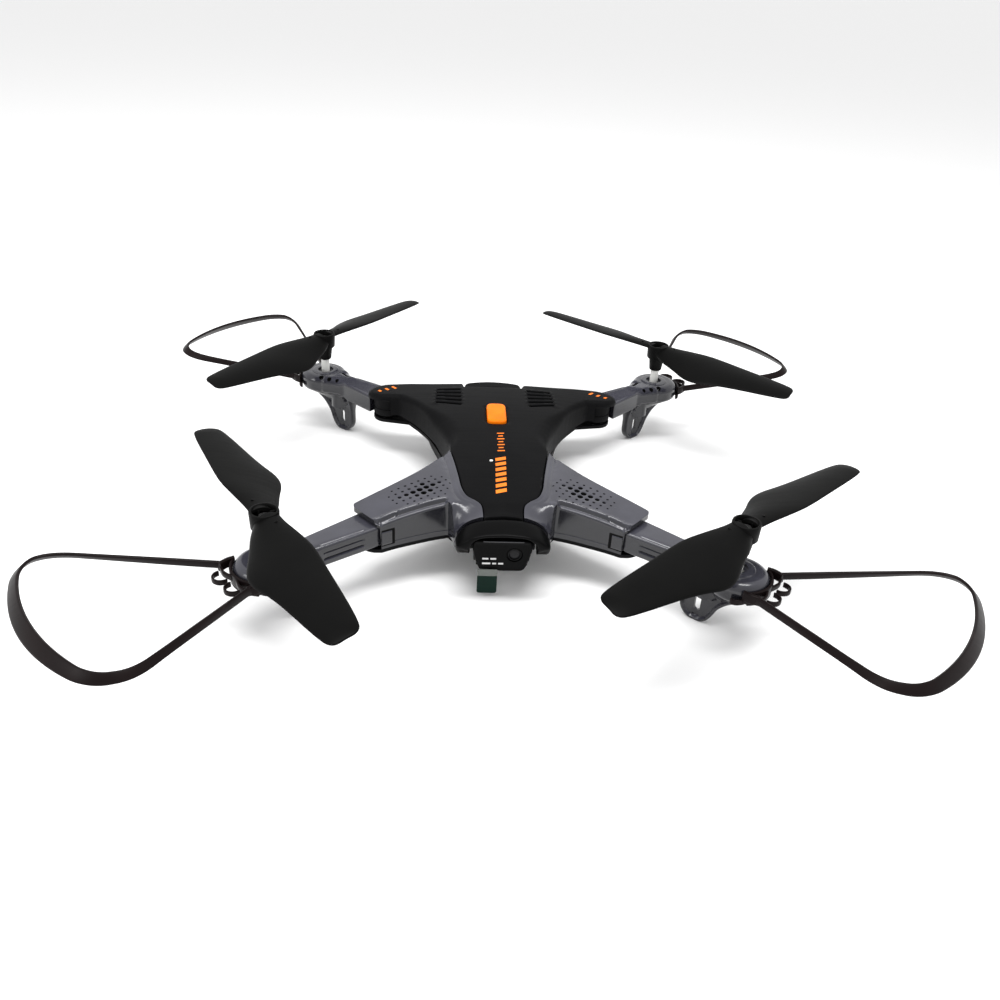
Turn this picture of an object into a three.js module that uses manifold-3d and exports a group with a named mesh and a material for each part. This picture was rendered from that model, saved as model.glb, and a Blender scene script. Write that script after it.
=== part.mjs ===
// Folding camera quadcopter with clip-on propeller guards.
// Millimetres, +Z up. Origin: on the ground under the middle of the four propeller axes.
// The nose points along -Y. "left" is -X and "right" is +X.
import * as THREE from "three";
import { mergeVertices } from "three/addons/utils/BufferGeometryUtils.js";
import Module from "manifold-3d";

const wasm = await Module();
wasm.setup();

// ---------------------------------------------------------------- driving dimensions

const MOTOR_X = 81.9; // propeller axes, from the middle
const MOTOR_Y = 83.4;
const FRONT_HINGE = { x: 46, y: 53 }; // arm hinge pins, from the middle
const REAR_HINGE = { x: 49.5, y: 56.5 };
const FIT_GAP = 0.3; // between pieces that touch
const RUNNING_GAP = 0.7; // round the swinging arm roots

const BODY_BOTTOM = 12;
const SHELL_SPLIT = 21.85; // parting plane of top and bottom shell
const CROWN_TOP = 36; // highest point of the crowned roof
const CROWN_RISE = 30; // the roof is part of an ellipsoid: this high
const CROWN_SPAN = 130; // and this far across, from its middle
const WALL = 1.6;
const ROOF = 1.8;
const JAW_BOTTOM = 16.3; // lower jaw plates under the arm knuckles
const JAW_TOP = 18.3;

const ARM_BOTTOM = 19;
const ARM_TOP = 27.6;
const ARM_ROOT_HALF = 7; // half widths of the arm
const ARM_NECK_HALF = 5;
const NECK_FROM_AXIS = 17; // where the arm meets the pod
const POD_RADIUS = 10;
const POD_TOP = 28;
const BOSS_TOP = 28.9;
const PIN_RADIUS = 1.6;
const PIN_BORE = 2;

const LEG_WEB = 2;
const FOOT_RADIUS = 6.7;
const FOOT_CENTRE = -11.9; // along the arm, from the propeller axis
const FOOT_WORN = 0.3; // the round foot is flat underneath by this much

const GEAR_MODULE = 0.6;
const GEAR_TEETH = 24;
const PINION_TEETH = 8;
const GEAR_BOTTOM = 24.4;
const GEAR_TOP = 26.4;
const MOTOR_OFFSET = (GEAR_MODULE * (GEAR_TEETH + PINION_TEETH)) / 2;
const MOTOR_RADIUS = 3;
const MOTOR_BOTTOM = 11.9;
const MOTOR_TOP = 23.9;

const SHAFT_RADIUS = 2;
const SLEEVE_BOTTOM = 34;
const BLADE_HEIGHT = 44.4; // middle of the blade
const HUB_TOP = 46.3;
const HUB_RADIUS = 5.6;
const PROPELLER_RADIUS = 73.5;

const GUARD_FRONT = { radius: 78.3, ribbonMiddle: 32.6, legMiddle: 25.3 };
const GUARD_REAR = { radius: 73.8, ribbonMiddle: 31.3, legMiddle: 23.9 };
const GUARD_ARC = { from: 5, to: 69 }; // degrees, from outward X towards outward Y
const GUARD_STRIP = 1.3;
const GUARD_RIBBON_WIDTH = 5.6;
const GUARD_LEG_WIDTH = 3;
const GUARD_LEAN = 45; // degrees that the ribbon's upper edge leans inward

const CAMERA_PIVOT = { y: -56, z: 19 };
const CAMERA_PIN_RADIUS = 1.2;
const BUTTON_Y = 21.5;

// Blade direction of each propeller at rest, in degrees from its own outward X towards its outward Y.
const CORNERS = [
  { name: "front_left", sx: -1, sy: -1, hinge: FRONT_HINGE, bladeAngle: -62.3 },
  { name: "front_right", sx: 1, sy: -1, hinge: FRONT_HINGE, bladeAngle: -41.1 },
  { name: "rear_left", sx: -1, sy: 1, hinge: REAR_HINGE, bladeAngle: -55.3 },
  { name: "rear_right", sx: 1, sy: 1, hinge: REAR_HINGE, bladeAngle: -44.2 },
];

// ---------------------------------------------------------------- materials

const plastic = (color, roughness) => new THREE.MeshStandardMaterial({ color, roughness, metalness: 0 });
const metal = (color, roughness) => new THREE.MeshStandardMaterial({ color, roughness, metalness: 1 });
const BLACK_SHELL = plastic(0x1c1c1c, 0.5);
const GLOSS_BLACK = plastic(0x0c0c0c, 0.2);
const GREY_SHELL = plastic(0x5c5c66, 0.35);
const PROP_BLACK = plastic(0x1a1a19, 0.55);
const GUARD_BROWN = plastic(0x241d1e, 0.45);
const ORANGE = plastic(0xfa9808, 0.4);
const WHITE = plastic(0xe6e6e2, 0.45);
const FILM_GREEN = plastic(0x082d23, 0.3);
const BOARD_GREEN = plastic(0x14532d, 0.5);
const LENS_GLASS = plastic(0x101418, 0.05);
const STEEL = metal(0x9a9a9a, 0.35);
const BRASS = metal(0xb08d4a, 0.35);

// ---------------------------------------------------------------- geometry helpers

const radians = THREE.MathUtils.degToRad;

/** A three.js geometry as a manifold solid with its faces pointing out. */
function solidOf(geometry) {
  const bare = new THREE.BufferGeometry();
  bare.setAttribute("position", geometry.getAttribute("position"));
  bare.setIndex(geometry.index);
  const merged = mergeVertices(bare, 1e-4);
  const triVerts = Uint32Array.from(merged.index.array);
  const vertProperties = merged.getAttribute("position").array;
  const solid = new wasm.Manifold(new wasm.Mesh({ numProp: 3, vertProperties, triVerts }));
  if (solid.volume() > 0) {
    return solid;
  }
  return new wasm.Manifold(new wasm.Mesh({ numProp: 3, vertProperties, triVerts: triVerts.reverse() }));
}

/** A manifold solid as a three.js geometry. */
function geometryOf(solid) {
  const { vertProperties, triVerts } = solid.getMesh();
  const geometry = new THREE.BufferGeometry();
  geometry.setAttribute("position", new THREE.BufferAttribute(vertProperties, 3));
  geometry.setIndex(new THREE.BufferAttribute(triVerts, 1));
  geometry.computeVertexNormals();
  return geometry;
}

const join = (...solids) => solids.reduce((sum, solid) => sum.add(solid));
const cut = (solid, ...tools) => tools.reduce((rest, tool) => rest.subtract(tool), solid);

/** The solid moved by a matrix: mirroring matrices are allowed. */
function moved(solid, matrix) {
  return solidOf(geometryOf(solid).applyMatrix4(matrix));
}

const mirrorX = (solid) => moved(solid, new THREE.Matrix4().makeScale(-1, 1, 1));
const bothSides = (solid) => solid.add(mirrorX(solid));

/** An outline, drawn in X and Y, as an upright prism. */
function prism(outline, low, high, { bevel = 0, segments = 3 } = {}) {
  const geometry = new THREE.ExtrudeGeometry(outline, {
    depth: high - low - 2 * bevel,
    curveSegments: segments,
    bevelEnabled: bevel > 0,
    bevelThickness: bevel,
    bevelSize: bevel,
    bevelOffset: -bevel,
    bevelSegments: 1,
  });
  return solidOf(geometry.translate(0, 0, low + bevel));
}

/** An upright prism with its sides moved inward by distance or a little more: what four shifted copies share. */
function shrunk(solid, distance) {
  let core = solid;
  for (const [x, y] of [[1, 1], [1, -1], [-1, -1], [-1, 1]]) {
    core = core.intersect(moved(solid, new THREE.Matrix4().makeTranslation(x * distance, y * distance, 0)));
  }
  return core;
}

function block(xLow, xHigh, yLow, yHigh, zLow, zHigh) {
  const geometry = new THREE.BoxGeometry(xHigh - xLow, yHigh - yLow, zHigh - zLow);
  return solidOf(geometry.translate((xLow + xHigh) / 2, (yLow + yHigh) / 2, (zLow + zHigh) / 2));
}

/** An upright cylinder or cone. */
function rod(radius, low, high, { x = 0, y = 0, sides = 16, topRadius = radius } = {}) {
  const geometry = new THREE.CylinderGeometry(topRadius, radius, high - low, sides);
  return solidOf(geometry.rotateX(Math.PI / 2).translate(x, y, (low + high) / 2));
}

/** A cylinder along X. */
function crossRod(radius, xLow, xHigh, y, z, sides = 24) {
  const geometry = new THREE.CylinderGeometry(radius, radius, xHigh - xLow, sides);
  return solidOf(geometry.rotateZ(Math.PI / 2).translate((xLow + xHigh) / 2, y, z));
}

const points = (list) => list.map(([x, y]) => new THREE.Vector2(x, y));

/** Continues the shape along a smooth curve through the listed points, in short straight steps. */
function splineTo(shape, list, steps = list.length + 2) {
  const curve = new THREE.SplineCurve([shape.currentPoint.clone(), ...list]);
  curve.getSpacedPoints(steps).slice(1).forEach((p) => shape.lineTo(p.x, p.y));
}

function roundedRectangle(halfX, halfY, corner, cx = 0, cy = 0) {
  const shape = new THREE.Shape();
  shape.absarc(cx + halfX - corner, cy - halfY + corner, corner, -Math.PI / 2, 0);
  shape.absarc(cx + halfX - corner, cy + halfY - corner, corner, 0, Math.PI / 2);
  shape.absarc(cx - halfX + corner, cy + halfY - corner, corner, Math.PI / 2, Math.PI);
  shape.absarc(cx - halfX + corner, cy - halfY + corner, corner, Math.PI, 1.5 * Math.PI);
  return shape;
}

/** The space under the crowned roof, lowered by drop. */
function underCrown(drop = 0) {
  const reach = 90;
  const rings = 5;
  const profile = [new THREE.Vector2(0, 0), new THREE.Vector2(reach, 0)];
  for (let ring = rings; ring >= 0; ring -= 1) {
    const radius = (reach * ring) / rings;
    const rise = CROWN_RISE * Math.sqrt(1 - (radius / CROWN_SPAN) ** 2);
    profile.push(new THREE.Vector2(radius, CROWN_TOP - CROWN_RISE + rise - drop));
  }
  return solidOf(new THREE.LatheGeometry(profile, 28).rotateX(Math.PI / 2));
}

// ---------------------------------------------------------------- body outlines, right half

/** Edge between the black roof and the grey wing shell, from the nose to the waist. */
const WING_SEAM = points([
  [7.3, -58],
  [7.9, -53],
  [10.3, -50],
  [13.4, -47.2],
  [15.2, -42],
  [16.4, -33.7],
  [18.2, -22.5],
  [19.8, -14.4],
]);
/** The wing's swept front edge, from the nose to its tip. */
const WING_FRONT = points([
  [20.4, -50.8],
  [26.3, -52.9],
  [33, -55.9],
  [39.4, -59],
  [44.6, -62],
]);
/** The concave side from the waist to the rear clevis. */
const REAR_SIDE = points([
  [19.8, -14.4],
  [20.7, -3],
  [23.4, 9],
  [28.6, 22],
  [35.4, 35],
  [43.4, 45.5],
]);
/** The same side at the floor, which is narrower. */
const REAR_SIDE_LOW = points([
  [19.8, -14.4],
  [20.5, -3],
  [22.8, 9],
  [26.4, 22],
  [31.6, 35],
  [39.5, 47.5],
]);
/** The wing's concave rear edge, from its tip to the waist. */
const WING_REAR = points([
  [55.6, -49.6],
  [43, -39.5],
  [32.5, -30],
  [24.5, -20.5],
  [19.8, -14.4],
]);
const NOSE_REAR = -59.7; // the roof and wing shells end here, against the hood
const CLEVIS_RADIUS = 9.3;
const LOWER_CLEVIS_RADIUS = 6.8;
const REAR_EDGE = 63.5;
const BATTERY_BAY_HALF = 14;
const BATTERY_CAP_FRONT = 59;
const CENTRE_OVERLAP = -0.5; // half outlines cross the middle plane by this much
const CAMERA_BAY_HALF = 15.5;
const CAMERA_BAY_REAR = -46;
const CAMERA_BAY_TOP = 27.2;

/** Rear clevis, rear edge and battery notch, shared by both shells. */
function traceRear(shape, clevisRadius) {
  shape.absarc(REAR_HINGE.x, REAR_HINGE.y, clevisRadius, radians(-75), radians(98));
  shape.lineTo(BATTERY_BAY_HALF + 20, REAR_EDGE);
  shape.lineTo(BATTERY_BAY_HALF, REAR_EDGE);
  shape.lineTo(BATTERY_BAY_HALF, BATTERY_CAP_FRONT - 0.4);
  shape.lineTo(CENTRE_OVERLAP, BATTERY_CAP_FRONT - 0.4);
}

function roofOutline() {
  const shape = new THREE.Shape();
  shape.moveTo(CENTRE_OVERLAP, NOSE_REAR);
  shape.lineTo(WING_SEAM[0].x, NOSE_REAR);
  shape.lineTo(WING_SEAM[0].x, WING_SEAM[0].y);
  splineTo(shape, WING_SEAM.slice(1));
  splineTo(shape, REAR_SIDE.slice(1));
  traceRear(shape, CLEVIS_RADIUS);
  return shape;
}

function wingOutline() {
  const shape = new THREE.Shape();
  const seam = WING_SEAM.map((p) => new THREE.Vector2(p.x + FIT_GAP, p.y - FIT_GAP / 2));
  shape.moveTo(seam[0].x, NOSE_REAR);
  shape.lineTo(17.7, NOSE_REAR);
  shape.lineTo(18.7, -54);
  shape.lineTo(WING_FRONT[0].x, WING_FRONT[0].y);
  splineTo(shape, WING_FRONT.slice(1));
  shape.lineTo(46.6, -61.8);
  shape.lineTo(56, -51.4);
  shape.lineTo(WING_REAR[0].x, WING_REAR[0].y);
  splineTo(shape, WING_REAR.slice(1, -1));
  shape.lineTo(seam.at(-1).x + FIT_GAP, seam.at(-1).y - FIT_GAP);
  shape.lineTo(seam.at(-1).x, seam.at(-1).y - FIT_GAP);
  splineTo(shape, seam.slice(0, -1).reverse());
  return shape;
}

function floorOutline() {
  const shape = new THREE.Shape();
  shape.moveTo(CENTRE_OVERLAP, CAMERA_BAY_REAR);
  shape.lineTo(CAMERA_BAY_HALF, CAMERA_BAY_REAR);
  shape.lineTo(CAMERA_BAY_HALF, -53);
  shape.lineTo(18.6, -53);
  const front = WING_FRONT.map((p) => new THREE.Vector2(p.x, p.y + 0.5));
  shape.lineTo(front[0].x, front[0].y);
  splineTo(shape, front.slice(1));
  shape.absarc(FRONT_HINGE.x, -FRONT_HINGE.y, 8.8, radians(-80), radians(40));
  splineTo(shape, WING_REAR.slice(1));
  splineTo(shape, REAR_SIDE_LOW.slice(1));
  traceRear(shape, LOWER_CLEVIS_RADIUS);
  return shape;
}

/** The deep middle of the bottom shell, without the wings. */
function trayOutline() {
  const shape = new THREE.Shape();
  shape.moveTo(CENTRE_OVERLAP, CAMERA_BAY_REAR);
  shape.lineTo(12.9, CAMERA_BAY_REAR);
  splineTo(shape, points([[14.2, -38], [16.5, -28], [18.8, -14.4], [20, -3], [23, 9], [27, 22], [30, 36]]));
  shape.lineTo(31, REAR_EDGE);
  shape.lineTo(BATTERY_BAY_HALF, REAR_EDGE);
  shape.lineTo(BATTERY_BAY_HALF, BATTERY_CAP_FRONT - 0.4);
  shape.lineTo(CENTRE_OVERLAP, BATTERY_CAP_FRONT - 0.4);
  return shape;
}

// ---------------------------------------------------------------- corner frame and arm sweep

const armAngle = ({ x, y }) => Math.atan2(MOTOR_Y - y, MOTOR_X - x);
const armLength = ({ x, y }) => Math.hypot(MOTOR_Y - y, MOTOR_X - x);

/** The space one arm root sweeps from open to folded, in the body's frame, on the right side. */
function armSweep({ hinge, sy }) {
  const stretch = 42;
  const halfWidth = ARM_ROOT_HALF + RUNNING_GAP;
  const low = JAW_TOP;
  const high = ARM_TOP + RUNNING_GAP;
  const steps = 6;
  let sweep = rod(halfWidth + 0.3, low, high, { sides: 20 });
  for (let step = 0; step <= steps; step += 1) {
    const turn = armAngle(hinge) - (step * Math.PI) / 2 / steps;
    const root = block(0, stretch, -halfWidth, halfWidth, low, high);
    sweep = sweep.add(moved(root, new THREE.Matrix4().makeRotationZ(turn)));
  }
  const place = new THREE.Matrix4().makeTranslation(hinge.x, hinge.y * sy, 0);
  return moved(sweep, place.scale(new THREE.Vector3(1, sy, 1)));
}

const frontSweep = armSweep({ hinge: FRONT_HINGE, sy: -1 });
const rearSweep = armSweep({ hinge: REAR_HINGE, sy: 1 });
const PIN_LOW = 17;
const PIN_HIGH = 29.2;

// ---------------------------------------------------------------- body pieces

const cameraBay = block(-CAMERA_BAY_HALF, CAMERA_BAY_HALF, -70, CAMERA_BAY_REAR, 0, CAMERA_BAY_TOP);
const VENT = { x: 15, length: 12, firstY: 36.2, pitch: 4, count: 5, width: 1.6 };
const BATTERY = { halfX: 12.2, front: 10, low: 14.3, high: 28.2 };
const BUTTON_HALF = { x: 4.2, y: 9.2 };
const BOARD = { halfX: 12, rear: -3, front: -36, low: 19.9, high: 21.5 };
const BOARD_POST_Y = [-32, -7];
const LIGHT = { x: -3.6, y: -21.8 };
const SCREW_BOSS_TOP = 17.8;
const CASE_SCREWS = [
  [-15, -33],
  [15, -33],
  [-24, 50],
  [24, 50],
];

function topShell() {
  const outer = bothSides(prism(roofOutline(), SHELL_SPLIT + FIT_GAP, 50)).intersect(underCrown());
  const inner = shrunk(bothSides(prism(roofOutline(), 0, 50)), WALL).intersect(underCrown(ROOF));
  const { x, y } = REAR_HINGE;
  const clevisPad = rod(CLEVIS_RADIUS - 1, 26, 50, { x, y });
  const pinBore = rod(PIN_BORE, 0, PIN_HIGH + FIT_GAP, { x, y, sides: 12 });
  let shell = cut(outer, cut(inner, bothSides(clevisPad)), bothSides(rearSweep), bothSides(pinBore));
  for (let slot = 0; slot < VENT.count; slot += 1) {
    const front = VENT.firstY + slot * VENT.pitch;
    shell = cut(shell, bothSides(block(VENT.x, VENT.x + VENT.length, front, front + VENT.width, 28, 50)));
  }
  const buttonHole = roundedRectangle(BUTTON_HALF.x + 0.3, BUTTON_HALF.y + 0.3, 3, 0, BUTTON_Y);
  const lightHole = rod(1, 28, 50, { x: LIGHT.x, y: LIGHT.y, sides: 10 });
  const batteryWay = block(-12.7, 12.7, 40, 80, 0, BATTERY.high + 0.5);
  shell = cut(shell, prism(buttonHole, 28, 50), lightHole, cameraBay, batteryWay);
  const hanger = rod(1.6, 30.6, 35, { x: 11.5, y: BUTTON_Y, sides: 8 });
  return shell.add(bothSides(hanger));
}

function bottomShell() {
  const pinSocket = ({ x, y }, sy) => rod(PIN_BORE, PIN_LOW - FIT_GAP, 60, { x, y: y * sy, sides: 12 });
  const floor = cut(
    prism(floorOutline(), JAW_BOTTOM, JAW_TOP - FIT_GAP),
    pinSocket(FRONT_HINGE, -1),
    pinSocket(REAR_HINGE, 1),
  );
  const tray = cut(prism(trayOutline(), BODY_BOTTOM, SHELL_SPLIT), rearSweep, frontSweep);
  const hollow = shrunk(bothSides(prism(trayOutline(), BODY_BOTTOM + WALL, 60)), WALL);
  const batteryMouth = block(-BATTERY_BAY_HALF + 1, BATTERY_BAY_HALF - 1, 50, 80, BODY_BOTTOM + WALL, 60);
  let shell = cut(bothSides(floor.add(tray)), hollow, batteryMouth);
  for (const y of BOARD_POST_Y) {
    shell = shell.add(bothSides(rod(1.8, BODY_BOTTOM + 1, BOARD.low - FIT_GAP, { x: 9.5, y, sides: 8 })));
  }
  for (const [x, y] of CASE_SCREWS) {
    const boss = rod(3.4, BODY_BOTTOM, SCREW_BOSS_TOP, { x, y, sides: 12 });
    const counterbore = rod(2.2, 0, BODY_BOTTOM + 3.3, { x, y, sides: 12 });
    shell = cut(shell.add(boss), counterbore);
  }
  return shell;
}

function wingShell() {
  const { x, y } = FRONT_HINGE;
  const outer = prism(wingOutline(), JAW_TOP, 50).intersect(underCrown());
  const inner = shrunk(prism(wingOutline(), 0, 50), WALL).intersect(underCrown(ROOF));
  const clevisPad = rod(8, 26, 50, { x, y: -y });
  const pinBore = rod(PIN_BORE, 0, PIN_HIGH + FIT_GAP, { x, y: -y, sides: 12 });
  return cut(outer, cut(inner, clevisPad), frontSweep, pinBore, cameraBay);
}

const HOOD_DEPTH = 7.2;
const HOOD_BEVEL = 1.2;
const HOOD_LEG_BOTTOM = 17.2;
const HOOD_SLANT = Math.atan2(5.5, 9.6); // the lower edge of its legs rises forward at this angle
const EAR = { inner: 12.9, outer: 14.6, front: -59.6, rear: -52, low: 16, high: 23 };

/** The visor round the camera, an arch run from front to back, with two ears that hold the camera's pin. */
function noseHood() {
  const arch = new THREE.Shape();
  arch.moveTo(EAR.inner, HOOD_LEG_BOTTOM - 1);
  arch.lineTo(16.4, HOOD_LEG_BOTTOM - 1);
  splineTo(arch, points([[17.6, 19.5], [17.7, 24], [14.5, 28.8], [8.5, 31.6], [0, 32.4]]));
  splineTo(arch, points([[-8.5, 31.6], [-14.5, 28.8], [-17.7, 24], [-17.6, 19.5], [-16.4, HOOD_LEG_BOTTOM - 1]]));
  arch.lineTo(-EAR.inner, HOOD_LEG_BOTTOM - 1);
  arch.lineTo(-EAR.inner, 21.5);
  splineTo(arch, points([[-12, 24.4], [-9, 25.8], [0, 26.2], [9, 25.8], [12, 24.4], [EAR.inner, 21.5]]));
  const geometry = new THREE.ExtrudeGeometry(arch, {
    depth: HOOD_DEPTH,
    curveSegments: 2,
    bevelThickness: HOOD_BEVEL,
    bevelSize: HOOD_BEVEL,
    bevelOffset: -HOOD_BEVEL,
    bevelSegments: 1,
  });
  const rear = NOSE_REAR - FIT_GAP - HOOD_BEVEL;
  const visor = solidOf(geometry.rotateX(Math.PI / 2).translate(0, rear, 0));
  const below = new THREE.Matrix4().makeTranslation(0, rear, HOOD_LEG_BOTTOM);
  below.multiply(new THREE.Matrix4().makeRotationX(-HOOD_SLANT));
  const belowLegs = moved(block(-30, 30, -30, 30, -20, 0), below);
  const ear = block(EAR.inner, EAR.outer, EAR.front, EAR.rear, EAR.low, EAR.high);
  const earRoot = block(EAR.inner, EAR.outer, EAR.front - 3.4, EAR.front + 1, EAR.high - 3, EAR.high);
  const bore = crossRod(CAMERA_PIN_RADIUS + FIT_GAP, -20, 20, CAMERA_PIVOT.y, CAMERA_PIVOT.z, 12);
  return cut(join(cut(visor, belowLegs), bothSides(ear.add(earRoot))), bore);
}

// ---------------------------------------------------------------- camera

const CAMERA_FACE = -62.9; // front of the camera block
const FACEPLATE = 1.3;
const LENS = { x: 4.6, z: 18.6, radius: 2.6 };
const TAB = { left: -9, right: -1.5, low: 2.6, high: 14.5, thickness: 0.5 };

function cameraHousing() {
  const { y, z } = CAMERA_PIVOT;
  const drum = join(crossRod(7.1, -10.4, 10.4, y, z, 24), crossRod(2.8, -12.5, 12.5, y, z, 12));
  const snout = block(-9.6, 9.6, CAMERA_FACE, y, 13.2, 23.4);
  const ahead = block(-20, 20, -80, CAMERA_FACE, 0, 40);
  return cut(join(drum, snout), ahead, crossRod(CAMERA_PIN_RADIUS + FIT_GAP, -20, 20, y, z, 12));
}

function cameraFaceplate() {
  const face = new THREE.Shape();
  face.moveTo(-7, 12.4);
  face.lineTo(7, 12.4);
  face.quadraticCurveTo(8.7, 12.4, 9.1, 14);
  face.lineTo(10.9, 19.4);
  face.quadraticCurveTo(11.2, 23.6, 8.4, 23.6);
  face.lineTo(-8.4, 23.6);
  face.quadraticCurveTo(-11.2, 23.6, -10.9, 19.4);
  face.lineTo(-9.1, 14);
  face.quadraticCurveTo(-8.7, 12.4, -7, 12.4);
  const geometry = new THREE.ExtrudeGeometry(face, { depth: FACEPLATE, curveSegments: 4, bevelEnabled: false });
  const plate = solidOf(geometry.rotateX(Math.PI / 2).translate(0, CAMERA_FACE - FIT_GAP, 0));
  return cut(plate, facing(LENS.radius + FIT_GAP, CAMERA_FACE - 5, CAMERA_FACE, LENS.x, LENS.z));
}

/** A cylinder along Y. */
function facing(radius, yLow, yHigh, x, z, sides = 20) {
  const geometry = new THREE.CylinderGeometry(radius, radius, yHigh - yLow, sides);
  return solidOf(geometry.translate(x, (yLow + yHigh) / 2, z));
}

const FACEPLATE_FRONT = CAMERA_FACE - FIT_GAP - FACEPLATE;

function cameraLens() {
  return facing(LENS.radius, FACEPLATE_FRONT - 0.2, CAMERA_FACE - FIT_GAP, LENS.x, LENS.z);
}

function lensFilmTab() {
  const front = FACEPLATE_FRONT - FIT_GAP;
  return block(TAB.left, TAB.right, front - TAB.thickness, front, TAB.low, TAB.high);
}

// ---------------------------------------------------------------- electronics, button, battery

function flightControllerBoard() {
  const shape = roundedRectangle(BOARD.halfX, (BOARD.rear - BOARD.front) / 2, 2, 0, (BOARD.rear + BOARD.front) / 2);
  const processor = block(-5, 5, -26, -16, BOARD.high - 0.1, BOARD.high + 1.2);
  const radioCan = block(-10, 4, -34, -27.5, BOARD.high - 0.1, BOARD.high + 2.2);
  const connector = block(-6, 6, -8, -4, BOARD.high - 0.1, BOARD.high + 4);
  return join(prism(shape, BOARD.low, BOARD.high), processor, radioCan, connector);
}

function statusLight() {
  return rod(0.7, BOARD.high + 10.2, 35.6, { x: LIGHT.x, y: LIGHT.y, sides: 10 });
}

function powerSwitch() {
  const carrier = block(-13.5, 13.5, BUTTON_Y - 6, BUTTON_Y + 6, 28.9, 30.2);
  return carrier.add(block(-3, 3, BUTTON_Y - 3, BUTTON_Y + 3, 30.1, 32));
}

function powerButton() {
  const cap = prism(roundedRectangle(BUTTON_HALF.x, BUTTON_HALF.y, 2.8, 0, BUTTON_Y), 34, 37, { bevel: 0.6, segments: 2 });
  const flange = prism(roundedRectangle(BUTTON_HALF.x + 0.2, BUTTON_HALF.y + 0.2, 2.8, 0, BUTTON_Y), 33.2, 34.3, { segments: 2 });
  const stem = rod(1.6, 33, 34.4, { y: BUTTON_Y, sides: 12 });
  return join(cap, flange, stem);
}

const BATTERY_CAP = { halfX: 13.5, rear: 67, low: 13, high: 31.8 };

function batteryPack() {
  const cell = block(-BATTERY.halfX, BATTERY.halfX, BATTERY.front, BATTERY_CAP_FRONT + 1, BATTERY.low, BATTERY.high);
  const depth = (BATTERY_CAP.rear - BATTERY_CAP_FRONT) / 2;
  const capOutline = roundedRectangle(BATTERY_CAP.halfX, depth, 2.5, 0, BATTERY_CAP_FRONT + depth);
  const cap = prism(capOutline, BATTERY_CAP.low, BATTERY_CAP.high, { bevel: 0.8 });
  const latchPocket = block(-5.3, 5.3, BATTERY_CAP.rear - 2.6, BATTERY_CAP.rear + 5, 17, 25);
  return cut(join(cell, cap), latchPocket);
}

function batteryLatch() {
  return block(-4.8, 4.8, BATTERY_CAP.rear - 2.2, BATTERY_CAP.rear + 0.4, 17.4, 22.6);
}

function caseScrew(x, y) {
  const head = rod(2, BODY_BOTTOM + 1.4, BODY_BOTTOM + 3, { x, y, sides: 10 });
  const recess = block(x - 1.1, x + 1.1, y - 0.25, y + 0.25, BODY_BOTTOM + 1, BODY_BOTTOM + 2);
  return cut(head, recess);
}

// ---------------------------------------------------------------- arm, in the corner's arm frame
// The propeller axis is at X = 0 and +X points outward along the arm.

function armOutline(length) {
  const outline = new THREE.Shape();
  outline.moveTo(-NECK_FROM_AXIS, -ARM_NECK_HALF);
  splineTo(outline, points([[-11.5, -6.6], [-7, -8.6]]));
  outline.absarc(1, 0, POD_RADIUS + 1, radians(-128), radians(128));
  splineTo(outline, points([[-11.5, 6.6], [-NECK_FROM_AXIS, ARM_NECK_HALF]]));
  outline.lineTo(-length, ARM_ROOT_HALF);
  outline.absarc(-length, 0, ARM_ROOT_HALF, Math.PI / 2, 1.5 * Math.PI);
  return outline;
}

const POD_SPLIT = 19.8;

function arm(length) {
  const shell = prism(armOutline(length), ARM_BOTTOM, POD_TOP);
  const beamTop = block(-length - 20, -NECK_FROM_AXIS, -20, 20, ARM_TOP, 40);
  const boss = rod(6.4, POD_TOP - 1, BOSS_TOP, { sides: 16 });
  const bossRecess = rod(4, POD_TOP, 40, { sides: 12 });
  const gearRoom = rod(8.6, 0, GEAR_TOP + 0.5, { sides: 20 });
  const motorRoom = rod(MOTOR_RADIUS + 1.4, 0, GEAR_TOP + 0.5, { x: -MOTOR_OFFSET, sides: 12 });
  const shaftHole = rod(SHAFT_RADIUS + 0.6, 0, 40, { sides: 12 });
  const legRoom = block(-19.4, 20, -20, 20, 0, POD_SPLIT);
  const pinHole = rod(PIN_BORE, 0, 40, { x: -length, sides: 12 });
  return cut(shell.add(boss), beamTop, legRoom, bossRecess, gearRoom, motorRoom, shaftHole, pinHole);
}

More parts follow.
